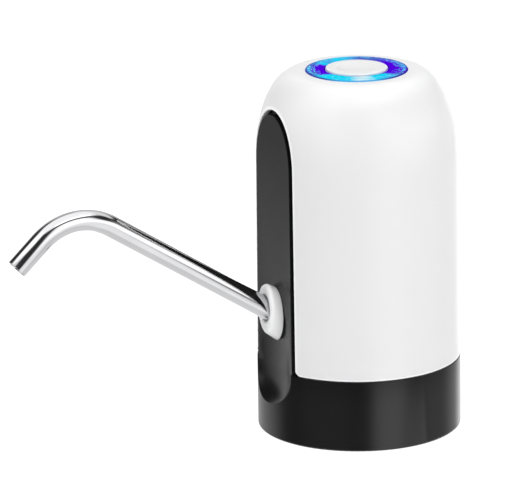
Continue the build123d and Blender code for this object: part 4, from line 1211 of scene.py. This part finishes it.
@dataclass
class PumpUnit(SubAssembly):
    """The motor and the diaphragm pump."""

    title: str = "pump unit"
    nodes: tuple[str, ...] = (
        "pump_cover", "valve_plate", "diaphragm", "pump_case", "pump_screws", "motor_can",
        "motor_end_cap", "motor_magnets", "motor_rotor", "motor_shaft", "eccentric",
        "wobble_plate", "inlet_hose", "outlet_hose",
    )


@dataclass
class PowerUnit(SubAssembly):
    """The cell, its chassis, the charging socket and the leads."""

    title: str = "power unit"
    nodes: tuple[str, ...] = (
        "battery_cell", "chassis", "usb_shell", "charge_board", "battery_leads", "motor_leads",
        "charge_leads",
    )


@dataclass(frozen=True)
class Softbox:
    """A soft rectangle of light among the surroundings. All is in degrees but its power.

    Its azimuth is counted from the front towards the right, and its side edges fade over soft,
    its lower and upper edges over edge.
    """

    azimuth: float
    half_width: float
    low: float
    high: float
    power: float
    soft: float = 6.0
    edge: float = 6.0

    def shine(self, graph: Graph, flat: Socket, rise: Socket) -> Socket:
        """Marks it out in the surroundings.

        Args:
            graph: The world's nodes.
            flat: The direction without its height, one unit long.
            rise: The direction's elevation, in radians.

        Returns:
            The socket of its brightness, which is 0 outside it.
        """
        side = math.radians(self.azimuth)
        inputs = {0: flat, 1: (math.sin(side), -math.cos(side), 0.0)}
        near = graph.add(Kind.VECTOR_MATH, inputs, operation="DOT_PRODUCT").outputs["Value"]
        ends = (self.half_width + self.soft / 2, max(self.half_width - self.soft / 2, 0))
        wide, narrow = radians(ends)
        across = graph.remap(near, (math.cos(wide), math.cos(narrow)), smooth=True)
        fade = self.edge / 2
        bottom = graph.remap(rise, radians((self.low - fade, self.low + fade)), smooth=True)
        above = radians((self.high - fade, self.high + fade))
        top = graph.remap(rise, above, (self.power, 0.0), smooth=True)
        return graph.math("MULTIPLY", across, graph.math("MULTIPLY", bottom, top))


# What the steel, the gloss black and the white cover mirror: azimuth, half width, low and high
# edge, and power.
SOFTBOXES = (
    Softbox(132, 20, -9, 20, 1.4, soft=14, edge=8),
    Softbox(105, 17, -7, 38, 1.4, soft=20),
    Softbox(158, 14, 2, 14, 1.2, soft=12),
    Softbox(152, 10, 14, 30, 0.2, soft=10),
    Softbox(5, 35, 40, 62, 1.5, soft=20),
    Softbox(2, 32, 10, 40, 1.0, soft=20, edge=10),
    Softbox(36, 16, 2, 22, 1.0, soft=16),
    Softbox(110, 40, 52, 66, 2.2, soft=16),
    Softbox(25, 30, -30, -6, 0.17, soft=20),
    Softbox(-92, 12, 0, 30, 0.45),
    Softbox(-118, 30, 14, 44, 0.6, soft=20),
    Softbox(-150, 40, 36, 60, 0.9, soft=20),
    Softbox(100, 18, -60, -3, 1.05, soft=16),
    Softbox(142, 30, -60, -20, 0.72, soft=14),
    Softbox(-110, 72, -60, 5, 0.58, soft=34, edge=8),
    Softbox(232, 20, -60, 5, 1.3, soft=24, edge=8),
    Softbox(165, 22, -60, 5, 0.32, soft=24, edge=8),
)


@dataclass
class Studio:
    """The floor, the soft light and the camera. Its angles are in degrees.

    The azimuth is counted from the front towards the right. Paper is the floor's two colours, and
    paper_glow the share of plain white in what the camera sees of it. The surroundings go from
    dark to deep as they rise, and to the ceiling's and the ground's light, each over its span.
    """

    azimuth: float = 65.9
    elevation: float = 16.04
    roll: float = -0.808
    distance: float = 1.7757
    aim_height: float = 66.52 * MM
    aim_side: float = -36.62 * MM
    lens: float = 350.14
    sensor: float = 36.0
    reach: float = 100.0
    floor_radius: float = 6.0
    floor_segments: int = 128
    paper: tuple[Colour, Colour] = (grey(0.86), grey(0.84))
    paper_patch: float = 0.4
    paper_glow: float = 0.72
    dark: float = 0.10
    deep: float = 0.03
    bright: float = 1.2
    ground: float = 0.78
    shade_span: Span = (-8.0, -2.0)
    ceiling_span: Span = (45.0, 58.0)
    ground_span: Span = (-40.0, -28.0)
    exposure: float = 0.44

    def camera(self) -> bpy.types.Object:
        """Adds the camera at the photograph's angle.

        Returns:
            The camera.
        """
        side, rise = radians((self.azimuth, self.elevation))
        tilt = math.radians(self.roll)
        right = Vector((math.cos(side), math.sin(side), 0))
        front = Vector((math.sin(side), -math.cos(side), 0))
        back = front * math.cos(rise) + Vector((0, 0, math.sin(rise)))
        up = back.cross(right)
        across = right * math.cos(tilt) + up * math.sin(tilt)
        above = up * math.cos(tilt) - right * math.sin(tilt)
        place = Vector((0, 0, self.aim_height)) + back * self.distance + right * self.aim_side
        data = bpy.data.cameras.new("camera")
        data.lens = self.lens
        data.sensor_width = self.sensor
        data.clip_end = self.reach
        camera = put("camera", data)
        facing = Matrix((across, above, back)).transposed().to_4x4()
        camera.matrix_world = Matrix.Translation(place) @ facing
        bpy.context.scene.camera = camera
        return camera

    def floor(self) -> bpy.types.Object:
        """Lays a plain pale floor. Glossy rays pass it, so the surroundings below it show.

        Returns:
            The floor.
        """
        mesh = bpy.data.meshes.new("floor")
        work = bmesh.new()
        bmesh.ops.create_circle(
            work, cap_ends=True, segments=self.floor_segments, radius=self.floor_radius,
        )
        work.to_mesh(mesh)
        work.free()
        material = bpy.data.materials.new("floor")
        material.use_nodes = True
        graph = Graph(material.node_tree)
        colour = graph.mix(graph.noise(graph.place(), self.paper_patch), *self.paper)
        inputs = {"Base Color": colour, "Roughness": 0.9, "Specular IOR Level": 0.1}
        surface = graph.add(Kind.SURFACE, inputs).outputs[0]
        glow = graph.add(Kind.GLOW, {"Color": WHITE, "Strength": 1.0}).outputs[0]
        clear = graph.add(Kind.CLEAR).outputs[0]
        ray = graph.add(Kind.RAY).outputs
        seen = graph.math("MULTIPLY", ray["Is Camera Ray"], self.paper_glow)
        both = graph.add(Kind.BLEND, {0: seen, 1: surface, 2: glow}).outputs[0]
        sheet = graph.add(Kind.BLEND, {0: ray["Is Glossy Ray"], 1: both, 2: clear}).outputs[0]
        graph.add(Kind.OUTPUT, {"Surface": sheet})
        mesh.materials.append(material)
        floor = put("floor", mesh)
        return floor

    def light(self) -> bpy.types.World:
        """Sets the surroundings: dark, with a bright ceiling and ground and the soft boxes.

        The camera itself sees plain white.

        Returns:
            The world.
        """
        world = bpy.data.worlds.new("studio")
        world.use_nodes = True
        graph = Graph(world.node_tree)
        toward = graph.add(Kind.COORDINATES).outputs["Generated"]
        unit = graph.add(Kind.VECTOR_MATH, {0: toward}, operation="NORMALIZE").outputs[0]
        inputs = {0: unit, 1: (1, 1, 0)}
        level = graph.add(Kind.VECTOR_MATH, inputs, operation="MULTIPLY").outputs[0]
        flat = graph.add(Kind.VECTOR_MATH, {0: level}, operation="NORMALIZE").outputs[0]
        rise = graph.math("ARCSINE", graph.split(unit)[2])
        around = graph.remap(rise, radians(self.shade_span), (self.dark, self.deep), smooth=True)
        for span, ends in (
            (self.ceiling_span, (0.0, self.bright)), (self.ground_span, (self.ground, 0.0)),
        ):
            part = graph.remap(rise, radians(span), ends, smooth=True)
            around = graph.math("MAXIMUM", around, part)
        for box in SOFTBOXES:
            around = graph.math("MAXIMUM", around, box.shine(graph, flat, rise))
        lit = graph.add(Kind.BACKGROUND, {"Color": WHITE, "Strength": around}).outputs[0]
        plain = graph.add(Kind.BACKGROUND, {"Color": WHITE, "Strength": 1.0}).outputs[0]
        seen = graph.add(Kind.RAY).outputs["Is Camera Ray"]
        both = graph.add(Kind.BLEND, {0: seen, 1: lit, 2: plain}).outputs[0]
        graph.add(Kind.SKY_OUTPUT, {"Surface": both})
        bpy.context.scene.world = world
        return world

    def build(self) -> None:
        """Adds the camera, the floor and the light."""
        self.camera()
        self.floor()
        self.light()
        bpy.context.scene.view_settings.view_transform = "Standard"
        bpy.context.scene.view_settings.exposure = self.exposure


def main() -> None:
    """Builds the studio and every sub-assembly."""
    logging.basicConfig(level=logging.INFO, format="%(message)s")
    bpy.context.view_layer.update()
    Studio().build()
    for group in (Cover(), Base(), Spout(), TopControls(), PumpUnit(), PowerUnit()):
        for name in group.build():
            log.info("%s: %s", group.title, name)


if __name__ == "__main__":
    main()
